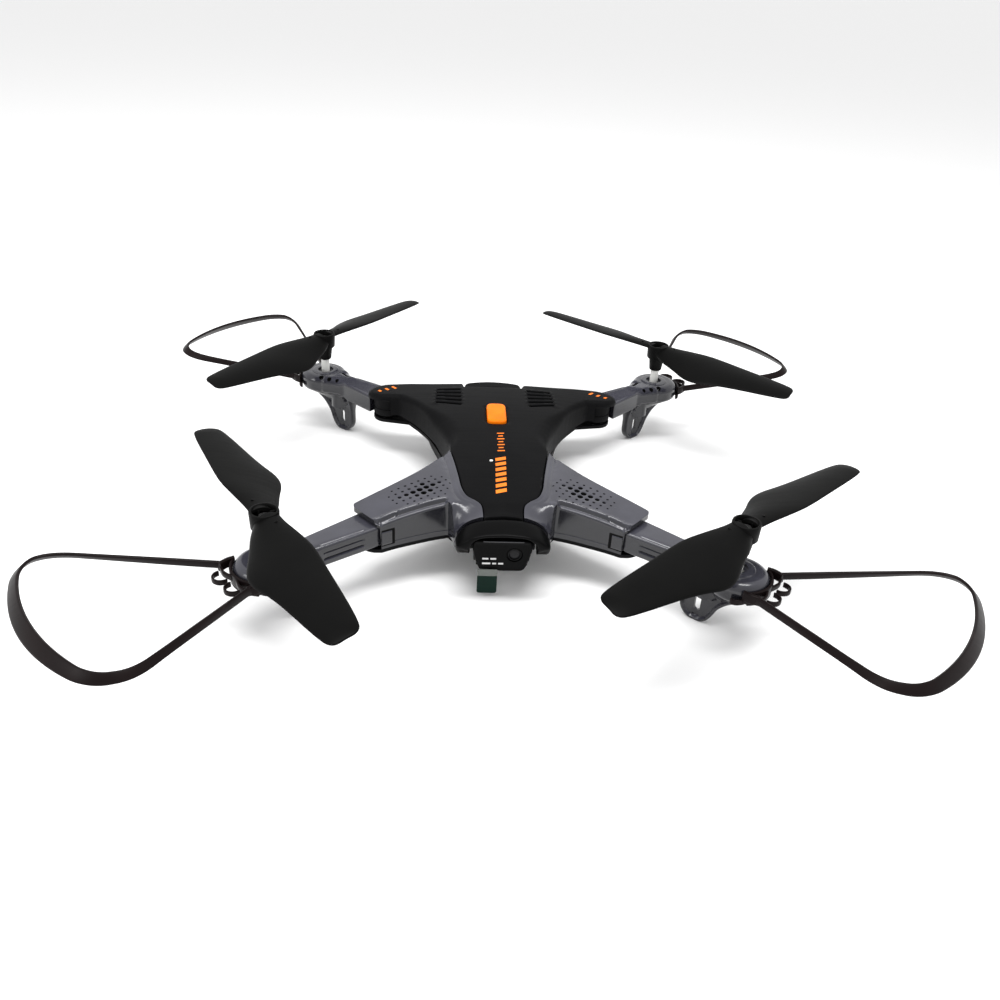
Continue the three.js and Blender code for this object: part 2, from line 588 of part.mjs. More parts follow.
/** The pod's lower cover with its landing leg, a fin in the arm's own plane. */
function podLeg() {
  const top = POD_SPLIT - FIT_GAP;
  const inboard = FOOT_CENTRE - FOOT_RADIUS;
  const footHeight = FOOT_RADIUS - FOOT_WORN;
  const side = new THREE.Shape();
  side.moveTo(inboard, top);
  side.lineTo(inboard, footHeight);
  side.absarc(FOOT_CENTRE, footHeight, FOOT_RADIUS, Math.PI, 2 * Math.PI);
  side.quadraticCurveTo(-3, 12.8, 10.5, 17.4);
  side.lineTo(10.5, top);
  const slot = new THREE.Path();
  slot.absarc(FOOT_CENTRE, 5.4, 1.4, Math.PI, 2 * Math.PI);
  slot.absarc(FOOT_CENTRE, 9, 1.4, 0, Math.PI);
  side.holes.push(slot);
  const upright = (geometry) => solidOf(geometry.rotateX(Math.PI / 2).translate(0, LEG_WEB / 2, 0));
  const web = upright(new THREE.ExtrudeGeometry(side, { depth: LEG_WEB, curveSegments: 4, bevelEnabled: false }));
  const floor = new THREE.Shape();
  floor.absarc(1, 0, POD_RADIUS - 0.4, radians(-128), radians(128));
  floor.lineTo(inboard, 4.5);
  floor.lineTo(inboard, -4.5);
  const cover = prism(floor, 17.6, top);
  const motorTube = rod(MOTOR_RADIUS + 1.3, MOTOR_BOTTOM - 1.1, top, { x: -MOTOR_OFFSET, sides: 14 });
  const motorBore = rod(MOTOR_RADIUS + FIT_GAP, MOTOR_BOTTOM - FIT_GAP, 40, { x: -MOTOR_OFFSET });
  const ground = block(-40, 40, -20, 20, -5, 0);
  return cut(join(web, cover, motorTube), motorBore, ground);
}

function hingePin(length) {
  return rod(PIN_RADIUS, PIN_LOW, PIN_HIGH, { x: -length, sides: 10 });
}

function motor() {
  const can = rod(MOTOR_RADIUS, MOTOR_BOTTOM, MOTOR_TOP - 0.8, { x: -MOTOR_OFFSET });
  return can.add(rod(1.4, MOTOR_TOP - 1, MOTOR_TOP, { x: -MOTOR_OFFSET, sides: 8 }));
}

/** Outline of a spur gear with straight-flanked teeth. The first tooth, or gap, is centred on +X. */
function gearOutline(teeth, startWithGap) {
  const pitchRadius = (GEAR_MODULE * teeth) / 2;
  const tipRadius = pitchRadius + 0.8 * GEAR_MODULE;
  const rootRadius = pitchRadius - 1.1 * GEAR_MODULE;
  const step = (2 * Math.PI) / teeth;
  const shape = new THREE.Shape();
  const corners = [
    [rootRadius, -0.3],
    [tipRadius, -0.1],
    [tipRadius, 0.1],
    [rootRadius, 0.3],
  ];
  for (let tooth = 0; tooth < teeth; tooth += 1) {
    const middle = (tooth + (startWithGap ? 0.5 : 0)) * step;
    for (const [radius, share] of corners) {
      const angle = middle + share * step;
      const x = radius * Math.cos(angle);
      const y = radius * Math.sin(angle);
      if (shape.curves.length || shape.currentPoint.lengthSq() > 0) {
        shape.lineTo(x, y);
      } else {
        shape.moveTo(x, y);
      }
    }
  }
  return shape;
}

function pinion() {
  const wheel = prism(gearOutline(PINION_TEETH, true), GEAR_BOTTOM - 0.1, GEAR_TOP + 0.1);
  return moved(wheel, new THREE.Matrix4().makeTranslation(-MOTOR_OFFSET, 0, 0));
}

function driveGear() {
  return cut(
    prism(gearOutline(GEAR_TEETH, false), GEAR_BOTTOM, GEAR_TOP),
    rod(SHAFT_RADIUS + FIT_GAP, 0, 40, { sides: 12 }),
  );
}

function propShaft() {
  const shaft = rod(SHAFT_RADIUS, 21, SLEEVE_BOTTOM + 4, { sides: 10 });
  return cut(shaft, rod(0.7, SLEEVE_BOTTOM, 60, { sides: 6 }));
}

// ---------------------------------------------------------------- propeller, in its own frame

/** Leading and trailing edge of a blade, from its centre line, at a share of its length. */
function bladeEdges(share) {
  const chord = 9 + 15 * Math.sin(Math.min(1, share / 0.34) * (Math.PI / 2)) - 15 * Math.max(0, share - 0.34);
  const tipRound = Math.sqrt(Math.max(0.02, 1 - Math.max(0, (share - 0.9) / 0.1) ** 2));
  const sweep = -3 * Math.sin(share * Math.PI);
  return { lead: sweep + chord * 0.5 * tipRound, trail: sweep - chord * 0.5 * tipRound };
}

/** One blade along +X: a box bent, tapered and twisted by formula. */
function blade() {
  const rootRadius = 3;
  const length = PROPELLER_RADIUS - rootRadius;
  const rootPitch = radians(24);
  const tipPitch = radians(9);
  const geometry = new THREE.BoxGeometry(1, 1, 1, 8, 2, 1);
  const position = geometry.getAttribute("position");
  for (let i = 0; i < position.count; i += 1) {
    const share = position.getX(i) + 0.5;
    const { lead, trail } = bladeEdges(share);
    const acrossChord = trail + (lead - trail) * (position.getY(i) + 0.5);
    const thickness = 1.4 - 0.6 * share;
    const camber = 1.1 * (1 - (2 * position.getY(i)) ** 2);
    const height = camber + position.getZ(i) * thickness;
    const pitch = rootPitch + (tipPitch - rootPitch) * share;
    position.setXYZ(
      i,
      rootRadius + share * length,
      acrossChord * Math.cos(pitch) - height * Math.sin(pitch),
      acrossChord * Math.sin(pitch) + height * Math.cos(pitch),
    );
  }
  return solidOf(geometry.translate(0, 0, BLADE_HEIGHT));
}

function propeller() {
  const hub = rod(HUB_RADIUS - 0.6, HUB_TOP - 6, HUB_TOP, { sides: 14, topRadius: HUB_RADIUS });
  const sleeve = rod(2.9, SLEEVE_BOTTOM + 0.2, HUB_TOP - 5, { sides: 10, topRadius: 3.6 });
  const opposite = moved(blade(), new THREE.Matrix4().makeRotationZ(Math.PI));
  const cup = rod(HUB_RADIUS - 1.2, HUB_TOP - 3, 60, { sides: 12 });
  const shaftBore = rod(SHAFT_RADIUS + FIT_GAP, 0, SLEEVE_BOTTOM + 4 + FIT_GAP, { sides: 10 });
  const screwBore = rod(1, 0, 60, { sides: 6 });
  return cut(join(hub, sleeve, blade(), opposite), cup, shaftBore, screwBore);
}

function propScrew() {
  const head = rod(1.9, HUB_TOP - 2.7, HUB_TOP - 1.2, { sides: 10 });
  const thread = rod(0.6, HUB_TOP - 7, HUB_TOP - 2.6, { sides: 6 });
  return head.add(thread);
}

// ---------------------------------------------------------------- propeller guard
// Frame: the propeller axis at the origin, the arc running from outward X to outward Y.

const CLIP = { from: 12.3, to: 16.4, halfWidth: 10.4, low: 22, high: 26.6 };
const CLIP_REACH = 12.6; // the legs leave the clip here
const LEG_SPREAD = 9.6;

function guardRoute(angle, radius) {
  const start = new THREE.Vector2(Math.cos(angle), Math.sin(angle)).multiplyScalar(CLIP_REACH);
  const side = new THREE.Vector2(-Math.sin(angle), Math.cos(angle)).multiplyScalar(LEG_SPREAD);
  const onArc = (degrees, reach = radius) =>
    new THREE.Vector2(reach * Math.cos(radians(degrees)), reach * Math.sin(radians(degrees)));
  const bendIn = 60;
  const cornerIn = 8;
  const first = GUARD_ARC.from;
  const last = GUARD_ARC.to;
  const route = new THREE.CurvePath();
  const firstRoot = start.clone().sub(side);
  const lastRoot = start.clone().add(side);
  route.add(new THREE.LineCurve(firstRoot, onArc(first, bendIn)));
  route.add(new THREE.QuadraticBezierCurve(onArc(first, bendIn), onArc(first), onArc(first + cornerIn)));
  route.add(new THREE.EllipseCurve(0, 0, radius, radius, radians(first + cornerIn), radians(last - cornerIn)));
  route.add(new THREE.QuadraticBezierCurve(onArc(last - cornerIn), onArc(last), onArc(last, bendIn)));
  route.add(new THREE.LineCurve(onArc(last, bendIn), lastRoot));
  return route;
}

/** The strip: a leaning ribbon along the arc, lower and narrower in its two legs. */
function guardStrip(route, { ribbonMiddle, legMiddle }) {
  const steps = 34;
  const geometry = new THREE.BoxGeometry(1, 1, 1, steps, 1, 1);
  const position = geometry.getAttribute("position");
  for (let i = 0; i < position.count; i += 1) {
    const share = position.getX(i) + 0.5;
    const point = route.getPoint(share);
    const tangent = route.getTangent(Math.min(0.999, Math.max(0.001, share)));
    const fromEnd = Math.min(share, 1 - share);
    const middle = THREE.MathUtils.lerp(legMiddle, ribbonMiddle, Math.min(1, fromEnd / 0.3));
    const blend = THREE.MathUtils.smoothstep(fromEnd, 0.18, 0.5);
    const width = THREE.MathUtils.lerp(GUARD_LEG_WIDTH, GUARD_RIBBON_WIDTH, blend);
    const lean = radians(GUARD_LEAN * THREE.MathUtils.lerp(0.2, 1, THREE.MathUtils.smoothstep(fromEnd, 0, 0.34)));
    const across = position.getY(i) * GUARD_STRIP;
    const up = position.getZ(i) * width;
    const inward = across * Math.cos(lean) + up * Math.sin(lean);
    position.setXYZ(
      i,
      point.x - tangent.y * inward,
      point.y + tangent.x * inward,
      middle + up * Math.cos(lean) - across * Math.sin(lean),
    );
  }
  return solidOf(geometry);
}

function propGuard(angle, guard) {
  const clip = block(CLIP.from, CLIP.to, -CLIP.halfWidth, CLIP.halfWidth, CLIP.low, CLIP.high);
  const clipInPlace = moved(clip, new THREE.Matrix4().makeRotationZ(angle));
  return join(guardStrip(guardRoute(angle, guard.radius), guard), clipInPlace);
}

// ---------------------------------------------------------------- assembly

function mesh(name, solid, material) {
  const made = new THREE.Mesh(geometryOf(solid), material);
  made.name = name;
  return made;
}

function corner({ name, sx, sy, hinge, bladeAngle }) {
  const angle = armAngle(hinge);
  const length = armLength(hinge);
  const group = new THREE.Group();
  group.position.set(sx * MOTOR_X, sy * MOTOR_Y, 0);
  group.scale.set(sx, sy, 1);
  const armFrame = new THREE.Group();
  armFrame.rotation.z = angle;
  armFrame.add(
    mesh(`${name}_arm`, arm(length), GREY_SHELL),
    mesh(`${name}_leg`, podLeg(), GREY_SHELL),
    mesh(`${name}_hinge_pin`, hingePin(length), STEEL),
    mesh(`${name}_motor`, motor(), STEEL),
    mesh(`${name}_pinion`, pinion(), BRASS),
    mesh(`${name}_drive_gear`, driveGear(), WHITE),
    mesh(`${name}_prop_shaft`, propShaft(), WHITE),
  );
  const propFrame = new THREE.Group();
  propFrame.rotation.z = radians(bladeAngle);
  propFrame.add(
    mesh(`${name}_propeller`, propeller(), PROP_BLACK),
    mesh(`${name}_prop_screw`, propScrew(), STEEL),
  );
  const guard = sy < 0 ? GUARD_FRONT : GUARD_REAR;
  group.add(armFrame, propFrame, mesh(`${name}_prop_guard`, propGuard(angle, guard), GUARD_BROWN));
  return group;
}

function cameraPin() {
  return crossRod(CAMERA_PIN_RADIUS, -14.4, 14.4, CAMERA_PIVOT.y, CAMERA_PIVOT.z, 12);
}

const drone = new THREE.Group();
const rightWing = wingShell();
drone.add(
  mesh("top_shell", topShell(), BLACK_SHELL),
  mesh("bottom_shell", bottomShell(), BLACK_SHELL),
  mesh("wing_shell_right", rightWing, GREY_SHELL),
  mesh("wing_shell_left", mirrorX(rightWing), GREY_SHELL),
  mesh("nose_hood", noseHood(), GLOSS_BLACK),
  mesh("camera_housing", cameraHousing(), GLOSS_BLACK),
  mesh("camera_faceplate", cameraFaceplate(), GLOSS_BLACK),
  mesh("camera_lens", cameraLens(), LENS_GLASS),
  mesh("lens_film_tab", lensFilmTab(), FILM_GREEN),
  mesh("camera_pivot_pin", cameraPin(), STEEL),
  mesh("flight_controller_board", flightControllerBoard(), BOARD_GREEN),
  mesh("status_light", statusLight(), WHITE),
  mesh("power_switch", powerSwitch(), BOARD_GREEN),
  mesh("power_button", powerButton(), ORANGE),
  mesh("battery_pack", batteryPack(), BLACK_SHELL),
  mesh("battery_latch", batteryLatch(), GLOSS_BLACK),
);
CASE_SCREWS.forEach(([x, y], index) => {
  drone.add(mesh(`case_screw_${index + 1}`, caseScrew(x, y), STEEL));
});
CORNERS.forEach((spec) => drone.add(corner(spec)));

export default drone;
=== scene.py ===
"""Looks of the folding camera quadcopter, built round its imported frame.

Lengths are in millimetres until a mesh is made. Left is -X and the nose points along -Y. A corner's own frame
has its propeller axis at the origin and +X and +Y pointing outward. An arm's own frame is that one turned, so
that +X runs outward along the arm.
"""

from itertools import product
from math import atan2, ceil, cos, degrees, dist, hypot, pi, radians, sin

import bmesh
import bpy
import numpy as np
from mathutils import Matrix, Vector
from mathutils.geometry import delaunay_2d_cdt


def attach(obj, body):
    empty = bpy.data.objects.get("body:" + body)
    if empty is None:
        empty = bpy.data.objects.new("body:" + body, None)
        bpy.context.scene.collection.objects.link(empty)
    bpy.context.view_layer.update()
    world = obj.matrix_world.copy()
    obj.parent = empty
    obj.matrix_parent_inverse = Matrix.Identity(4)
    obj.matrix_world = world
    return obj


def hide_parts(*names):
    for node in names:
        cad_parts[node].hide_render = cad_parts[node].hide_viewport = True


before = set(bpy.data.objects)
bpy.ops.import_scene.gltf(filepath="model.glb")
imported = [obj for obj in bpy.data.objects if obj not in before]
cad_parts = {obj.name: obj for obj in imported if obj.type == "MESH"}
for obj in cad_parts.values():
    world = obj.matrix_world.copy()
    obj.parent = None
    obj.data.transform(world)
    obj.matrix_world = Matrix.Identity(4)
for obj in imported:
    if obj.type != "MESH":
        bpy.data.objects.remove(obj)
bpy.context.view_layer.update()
MM = 0.001

MOTOR = (81.9, 83.4)  # propeller axis, from the middle
FRONT_HINGE = (46, 53)  # arm hinge pins, from the middle
REAR_HINGE = (49.5, 56.5)
CORNERS = {  # signs of x and y, hinge, and the angle of the blades at rest
    "front_left": (-1, -1, FRONT_HINGE, -62.3),
    "front_right": (1, -1, FRONT_HINGE, -41.1),
    "rear_left": (-1, 1, REAR_HINGE, -55.3),
    "rear_right": (1, 1, REAR_HINGE, -44.2),
}

# -------- materials

MIX_A, MIX_B, MIX_OUT = 6, 7, 2  # the colour sockets of a Mix node
CLOUD_SCALE, STREAK_SCALE, GRIT_SCALE = 70, 60, 1900  # noise, per metre


def fill(node, inputs):
    """Sets a node's inputs, or links them to other nodes' outputs."""
    for key, value in inputs.items():
        if isinstance(value, bpy.types.NodeSocket):
            node.id_data.links.new(value, node.inputs[key])
        else:
            node.inputs[key].default_value = value
    return node


def tint(color, gain, lift=0):
    return (*[min(1, c * gain + lift) for c in color], 1)


def plastic(
    name, color, roughness, *, grain=0.004, streaks=0.06, wear_and_highlight=0.5, metallic=0, coat=0, specular=0.5, sides=1, alpha=1
):
    """Moulded plastic or metal: cloudy tone, moulding streaks, fine grain, and edges a little lighter,
    partly worn and partly a painted highlight.

    Grain is the height of its bumps in millimetres. Upright walls can be given painted shade, the colour darkened
    as the surface turns from facing up: sides is how dark.
    """
    made = bpy.data.materials.new(name)
    made.use_nodes = True
    tree = made.node_tree

    def node(kind, inputs=(), output=0, **settings):
        new = tree.nodes.new("ShaderNode" + kind)
        for key, value in settings.items():
            setattr(new, key, value)
        return fill(new, dict(inputs)).outputs[output]

    def ramp(source, low, high):
        """A signal stretched so that it runs smoothly from 0 to 1 between two levels."""
        levels = {"Value": source, "From Min": low, "From Max": high}
        return node("MapRange", levels, interpolation_type="SMOOTHSTEP")

    def noise(vector, scale, detail):
        return node("TexNoise", {"Vector": vector, "Scale": scale, "Detail": detail, "Roughness": 0.55}, "Fac")

    place = node("TexCoord", output="Object")
    stretched = node("Mapping", {"Vector": place, "Scale": (1, 14, 1), "Rotation": (0.2, 0.1, 0.7)})
    cloud = ramp(noise(place, CLOUD_SCALE, 3), 0.3, 0.7)
    streak = ramp(noise(stretched, STREAK_SCALE, 4), 0.35, 0.75)
    grit = noise(place, GRIT_SCALE, 2)
    edge = ramp(node("NewGeometry", output="Pointiness"), 0.52, 0.6)

    mixed = {"Factor": cloud, MIX_A: tint(color, 0.86), MIX_B: tint(color, 1.14)}
    tone = node("Mix", mixed, MIX_OUT, data_type="RGBA")
    # Sharp edges are lightened: partly worn plastic, partly a painted highlight.
    rubbed_and_lit = node("Math", {0: edge, 1: wear_and_highlight}, operation="MULTIPLY")
    mixed = {"Factor": rubbed_and_lit, MIX_A: tone, MIX_B: tint(color, 1.5, 0.008)}
    tone = node("Mix", mixed, MIX_OUT, data_type="RGBA")
    # Painted shade: the colour darkens as the surface's normal turns from up to level.
    if sides < 1:
        upward = node("SeparateXYZ", {0: node("NewGeometry", output="Normal")}, "Z")
        levels = {"Value": upward, "From Min": 0.1, "From Max": 0.85, "To Min": sides, "To Max": 1}
        tone = node("VectorMath", {0: tone, "Scale": node("MapRange", levels)}, operation="SCALE")
    rough = node("Math", {0: streak, 1: streaks, 2: roughness - streaks / 2}, operation="MULTIPLY_ADD")
    rough = node("Math", {0: grit, 1: 0.08, 2: rough}, operation="MULTIPLY_ADD")
    inputs = {"Base Color": tone, "Roughness": rough, "Metallic": metallic, "Specular IOR Level": specular}
    inputs |= {"Coat Weight": coat, "Coat Roughness": 0.12, "Alpha": alpha}
    if grain:
        inputs["Normal"] = node("Bump", {"Height": grit, "Strength": 1, "Distance": grain * MM})
    fill(tree.nodes["Principled BSDF"], inputs)
    return made


BLACK = plastic("satin_black_shell", (0.003, 0.003, 0.0033), 0.5, grain=0.014, streaks=0.05, specular=0.045)
HOOD = plastic("polished_black", (0.0012, 0.0012, 0.0013), 0.3, grain=0.003, streaks=0.05, specular=0.06)
# Its upright walls get painted shade, down to 0.3 of its colour.
GREY = plastic(
    "metallic_grey_shell", (0.036, 0.036, 0.047), 0.2, streaks=0.05, coat=0.3, specular=0.4, sides=0.3
)
PROP = plastic("satin_propeller", (0.0018, 0.0018, 0.0017), 0.42, streaks=0.04, specular=0.05)
GUARD = plastic("brown_black_guard", (0.0062, 0.0035, 0.0036), 0.34, grain=0.005, streaks=0.05, specular=0.09)
ORANGE = plastic("orange_button", (0.86, 0.17, 0.0006), 0.35, wear_and_highlight=0.25, specular=0.1)
PRINT = plastic("orange_print", (0.88, 0.2, 0.02), 0.5, grain=0, wear_and_highlight=0, specular=0.1)
MARK = plastic("pale_print", (0.62, 0.62, 0.62), 0.5, grain=0, wear_and_highlight=0, specular=0.1)
WHITE = plastic("natural_nylon", (0.62, 0.62, 0.6), 0.45, grain=0.01)
FILM_CLEAR = plastic("clear_film", (0.1, 0.11, 0.1), 0.14, grain=0, streaks=0.03, wear_and_highlight=0.1, coat=0.3, alpha=0.85)
FILM_GREEN = plastic("green_film", (0.0006, 0.012, 0.0075), 0.3, grain=0.002, specular=0.1)
LENS = plastic("lens_glass", (0.008, 0.008, 0.009), 0.25, grain=0, streaks=0.01, wear_and_highlight=0, specular=0.15)
LENS_RING = plastic("lens_ring", (0.003, 0.003, 0.0032), 0.4, grain=0, specular=0.1)
BOARD = plastic("circuit_board", (0.01, 0.075, 0.025), 0.4, grain=0.03, streaks=0.2)
STEEL = plastic("plain_steel", (0.55, 0.55, 0.56), 0.28, metallic=1)
BLACKED = plastic("blackened_steel", (0.1, 0.1, 0.1), 0.36, metallic=1)
BRASS = plastic("turned_brass", (0.6, 0.42, 0.16), 0.3, metallic=1)
# Painted shade, put on hole walls, pit floors and a panel's gap where shade falls.
PAINTED_SHADE = plastic("painted_shade_dark", (0.004, 0.004, 0.004), 0.7, grain=0, wear_and_highlight=0, specular=0.05)

# -------- curves and outlines


def run(line):
    """The distance along a line at each of its points."""
    return np.concatenate([[0], np.cumsum(np.linalg.norm(np.diff(line, axis=0), axis=1))])


def sampled(line, distances):
    """The points of a line at some distances along it."""
    length = run(line)
    return np.column_stack([np.interp(distances, length, column) for column in line.T])


def even(points, step):
    """An open line resampled at equal distances of about step."""
    line = np.asarray(points, float)
    length = run(line)[-1]
    count = max(1, round(length / step))
    return sampled(line, np.linspace(0, length, count + 1))


def spline(points, step=0.8):
    """A smooth curve through the listed points."""
    p = np.asarray(points, float)
    last = len(p) - 1
    t = np.linspace(0, last, 24 * last + 1)
    i = np.minimum(t.astype(int), last - 1)
    w = (t - i)[:, None]
    p0, p1, p2, p3 = p[np.maximum(i - 1, 0)], p[i], p[i + 1], p[np.minimum(i + 2, last)]
    v0, v1 = (p2 - p0) / 2, (p3 - p1) / 2
    return even((2 * (p1 - p2) + v0 + v1) * w**3 + (3 * (p2 - p1) - 2 * v0 - v1) * w**2 + v0 * w + p1, step)


def rightward(along):
    """Unit vectors to the right of some directions."""
    return np.column_stack([along[:, 1], -along[:, 0]]) / np.linalg.norm(along, axis=1)[:, None]


def bend(a, b, c, count):
    """A curve from a to c that is drawn towards b."""
    return [a * (1 - t) ** 2 + b * 2 * t * (1 - t) + c * t**2 for t in np.linspace(0, 1, count)]


def round_points(cx, cy, radius, angles):
    return np.column_stack([cx + radius * np.cos(angles), cy + radius * np.sin(angles)])


def arc(cx, cy, radius, start, end, step=0.7):
    count = max(3, ceil(abs(radians(end - start)) * radius / step))
    return round_points(cx, cy, radius, np.radians(np.linspace(start, end, count + 1)))


def all_round(count):
    return np.linspace(0, 2 * pi, count, endpoint=False)


def circle(cx, cy, radius, sides=16):
    return round_points(cx, cy, radius, all_round(sides))


def closed(loop):
    """The loop with its first point again at the end."""
    return np.vstack([loop, loop[:1]])


def in_circles(x, y, circles, share=1):
    """Whether a point is in any of the circles (x, y, radius), each at a share of its size."""
    return np.any([np.hypot(x - cx, y - cy) < r * share for cx, cy, r in circles], axis=0)


def round_creases(circles, shares, sides):
    return [closed(circle(cx, cy, r * share, sides)) for cx, cy, r in circles for share in shares]


def swung(loop, degrees):
    c, s = cos(radians(degrees)), sin(radians(degrees))
    return loop @ np.array([[c, s], [-s, c]])


def outline(*parts, step=1):
    """A closed line through corners (x, y) or (x, y, rounding) and arrays of curve points."""
    marks = []
    for part in parts:
        marks += [(*p, 0) for p in part] if isinstance(part, np.ndarray) else [(*part, 0)[:3]]
    marks = [m for k, m in enumerate(marks) if dist(m[:2], marks[k - 1][:2]) > 0.05]
    line = []
    for k, (x, y, rounding) in enumerate(marks):
        here = np.array([x, y])
        if rounding:
            before, after = np.array(marks[k - 1][:2]), np.array(marks[(k + 1) % len(marks)][:2])
            a = here + (before - here) / np.linalg.norm(before - here) * rounding
            b = here + (after - here) / np.linalg.norm(after - here) * rounding
            line += bend(a, here, b, 6)
        else:
            line.append(here)
    made = []
    for a, b in zip(line, line[1:] + line[:1]):
        pieces = max(1, round(float(np.linalg.norm(b - a)) / step))
        made += [a + (b - a) * k / pieces for k in range(pieces)]
    return np.array(made)


def rounded_box(cx, cy, half_x, half_y, rounding, step=1):
    signs = ((-1, -1), (1, -1), (1, 1), (-1, 1))
    return outline(*[(cx + sx * half_x, cy + sy * half_y, rounding) for sx, sy in signs], step=step)


def both_sides(half):
    """The right half of an outline, from the front of the middle line to its back, with its mirror image."""
    return outline(half, half[::-1] * (-1, 1))


def wound(loop, way):
    """The loop turned to run anticlockwise for a way of 1, or clockwise for -1."""
    x, y = loop[:, 0], loop[:, 1]
    area = float(np.sum(x * np.roll(y, -1) - np.roll(x, -1) * y)) / 2
    return loop if area * way > 0 else loop[::-1]


def to_segments(p, a, b):
    """Distance of each point to the nearest of the segments a to b, worked out for a few segments at a time."""
    best = np.full(len(p), 1e9)
    few = 80
    for start in range(0, len(a), few):
        s, e = a[start : start + few], b[start : start + few]
        d = e - s
        q = p[:, None, :] - s[None]
        t = np.clip((q * d).sum(2) / np.maximum((d * d).sum(1), 1e-12), 0, 1)
        best = np.minimum(best, np.linalg.norm(q - t[..., None] * d, axis=2).min(1))
    return best


def to_line(p, line):
    return to_segments(p, line[:-1], line[1:])


def squared(wave, power):
    """A sine or cosine made squarer, which turns a circle into a box with round corners."""
    return np.sign(wave) * np.abs(wave) ** power


def smooth(value, low, high):
    t = np.clip((value - low) / (high - low), 0, 1)
    return t * t * (3 - 2 * t)


def drop(distance, radius):
    """How far a rounded edge falls below its face, at a distance in from the edge."""
    t = np.clip(1 - distance / radius, 0, 1)
    return radius * (1 - np.sqrt(1 - t * t))


class Region:
    """A flat area inside one outline and outside its holes."""

    def __init__(self, outer, holes=()):
        self.loops = [wound(outer, 1)] + [wound(hole, -1) for hole in holes]

    def distances(self, p):
        """Distance to the outline, and to the nearest hole."""
        outer = to_line(p, closed(self.loops[0]))
        if len(self.loops) == 1:
            return outer, np.full(len(p), 1e3)
        starts = np.vstack(self.loops[1:])
        ends = np.vstack([np.roll(loop, -1, 0) for loop in self.loops[1:]])
        return outer, to_segments(p, starts, ends)

    def inside(self, p):
        odd = np.zeros(len(p), bool)
        for loop in self.loops:
            for (x0, y0), (x1, y1) in zip(loop, np.roll(loop, -1, 0)):
                if y0 != y1:
                    crosses = (y0 > p[:, 1]) != (y1 > p[:, 1])
                    odd ^= crosses & (p[:, 0] < (x1 - x0) * (p[:, 1] - y0) / (y1 - y0) + x0)
        return odd

    def inset(self, loop, distance, share=0.94):
        """A loop's points moved into the region, without those nearer to an edge than a share of the distance."""
        q = loop - rightward(np.roll(loop, -1, 0) - np.roll(loop, 1, 0)) * distance
        return q[self.inside(q) & (np.minimum(*self.distances(q)) > distance * share)]


# -------- solids


class Solid:
    """Points and faces, each face with the number of its material."""

    def __init__(self, points, faces, paint=0):
        self.points = np.asarray(points, float)
        self.faces = [tuple(int(i) for i in f) for f in faces]
        self.paint = [paint] * len(self.faces) if isinstance(paint, int) else list(paint)

    def __add__(self, other):
        count = len(self.points)
        faces = self.faces + [tuple(i + count for i in f) for f in other.faces]
        return Solid(np.vstack([self.points, other.points]), faces, self.paint + other.paint)

    def painted(self, number):
        return Solid(self.points, self.faces, number)

    def dark_where(self, chosen):
        """Gives the second material to the faces whose centres a function chooses."""
        x, y, z = np.array([self.points[list(f)].mean(0) for f in self.faces]).T
        self.paint = [int(dark) for dark in chosen(x, y, z)]
        return self

    def at(self, matrix):
        m = np.array(matrix, float)
        way = -1 if np.linalg.det(m[:3, :3]) < 0 else 1
        return Solid(self.points @ m[:3, :3].T + m[:3, 3], [f[::way] for f in self.faces], self.paint)


def joined(solids):
    return sum(solids[1:], solids[0])


def shift(x=0, y=0, z=0):
    return Matrix.Translation((x, y, z))


def turn(degrees, axis="Z"):
    return Matrix.Rotation(radians(degrees), 4, axis)


MIRROR = Matrix.Diagonal((-1, 1, 1, 1))
FACING = Matrix(((1, 0, 0, 0), (0, 0, -1, 0), (0, 1, 0, 0), (0, 0, 0, 1)))  # drawn in X and Z, thick towards -Y


def triangulated(region, step, rings, hole_rings, creases):
    """Points and triangles that fill a region, with finer rows along its edges and edges along the creases."""
    points, edges = [], []
    for k, loop in enumerate([*region.loops, *creases]):
        is_ring = k < len(region.loops)
        if not is_ring and np.linalg.norm(loop[0] - loop[-1]) < 1e-6:
            loop, is_ring = loop[:-1], True
        first, count = len(points), len(loop)
        points += list(loop)
        edges += [(first + i, first + (i + 1) % count) for i in range(count if is_ring else count - 1)]
    extra = [region.inset(region.loops[0], ring) for ring in rings]
    extra += [region.inset(loop, ring) for loop in region.loops[1:] for ring in hole_rings]
    low, high = region.loops[0].min(0), region.loops[0].max(0)
    rise = step * 0.866
    grid = []
    for j in range(int((high[1] - low[1]) / rise) + 1):
        grid += [(x, low[1] + j * rise) for x in np.arange(low[0] + (j % 2) * step / 2, high[0], step)]
    grid = np.array(grid)
    far, far_holes = region.distances(grid)
    open_space = (far > rings[-1] + step * 0.45) & (far_holes > hole_rings[-1] + step * 0.3)
    extra = np.vstack([*extra, grid[region.inside(grid) & open_space]])
    for line in creases:
        extra = extra[to_line(extra, line) > 0.12]
    flat, _, found, *_ = delaunay_2d_cdt([Vector(p) for p in [*points, *extra]], edges, [], 0, 1e-4, False)
    v, t = np.array([tuple(p) for p in flat]), np.array([tuple(f) for f in found])
    t = t[region.inside(v[t].mean(1))]
    p, q, r = v[t[:, 0]], v[t[:, 1]], v[t[:, 2]]
    backward = (q[:, 0] - p[:, 0]) * (r[:, 1] - p[:, 1]) - (q[:, 1] - p[:, 1]) * (r[:, 0] - p[:, 0]) < 0
    t[backward] = t[backward][:, ::-1]
    used, inverse = np.unique(t, return_inverse=True)
    return v[used], inverse.reshape(t.shape)


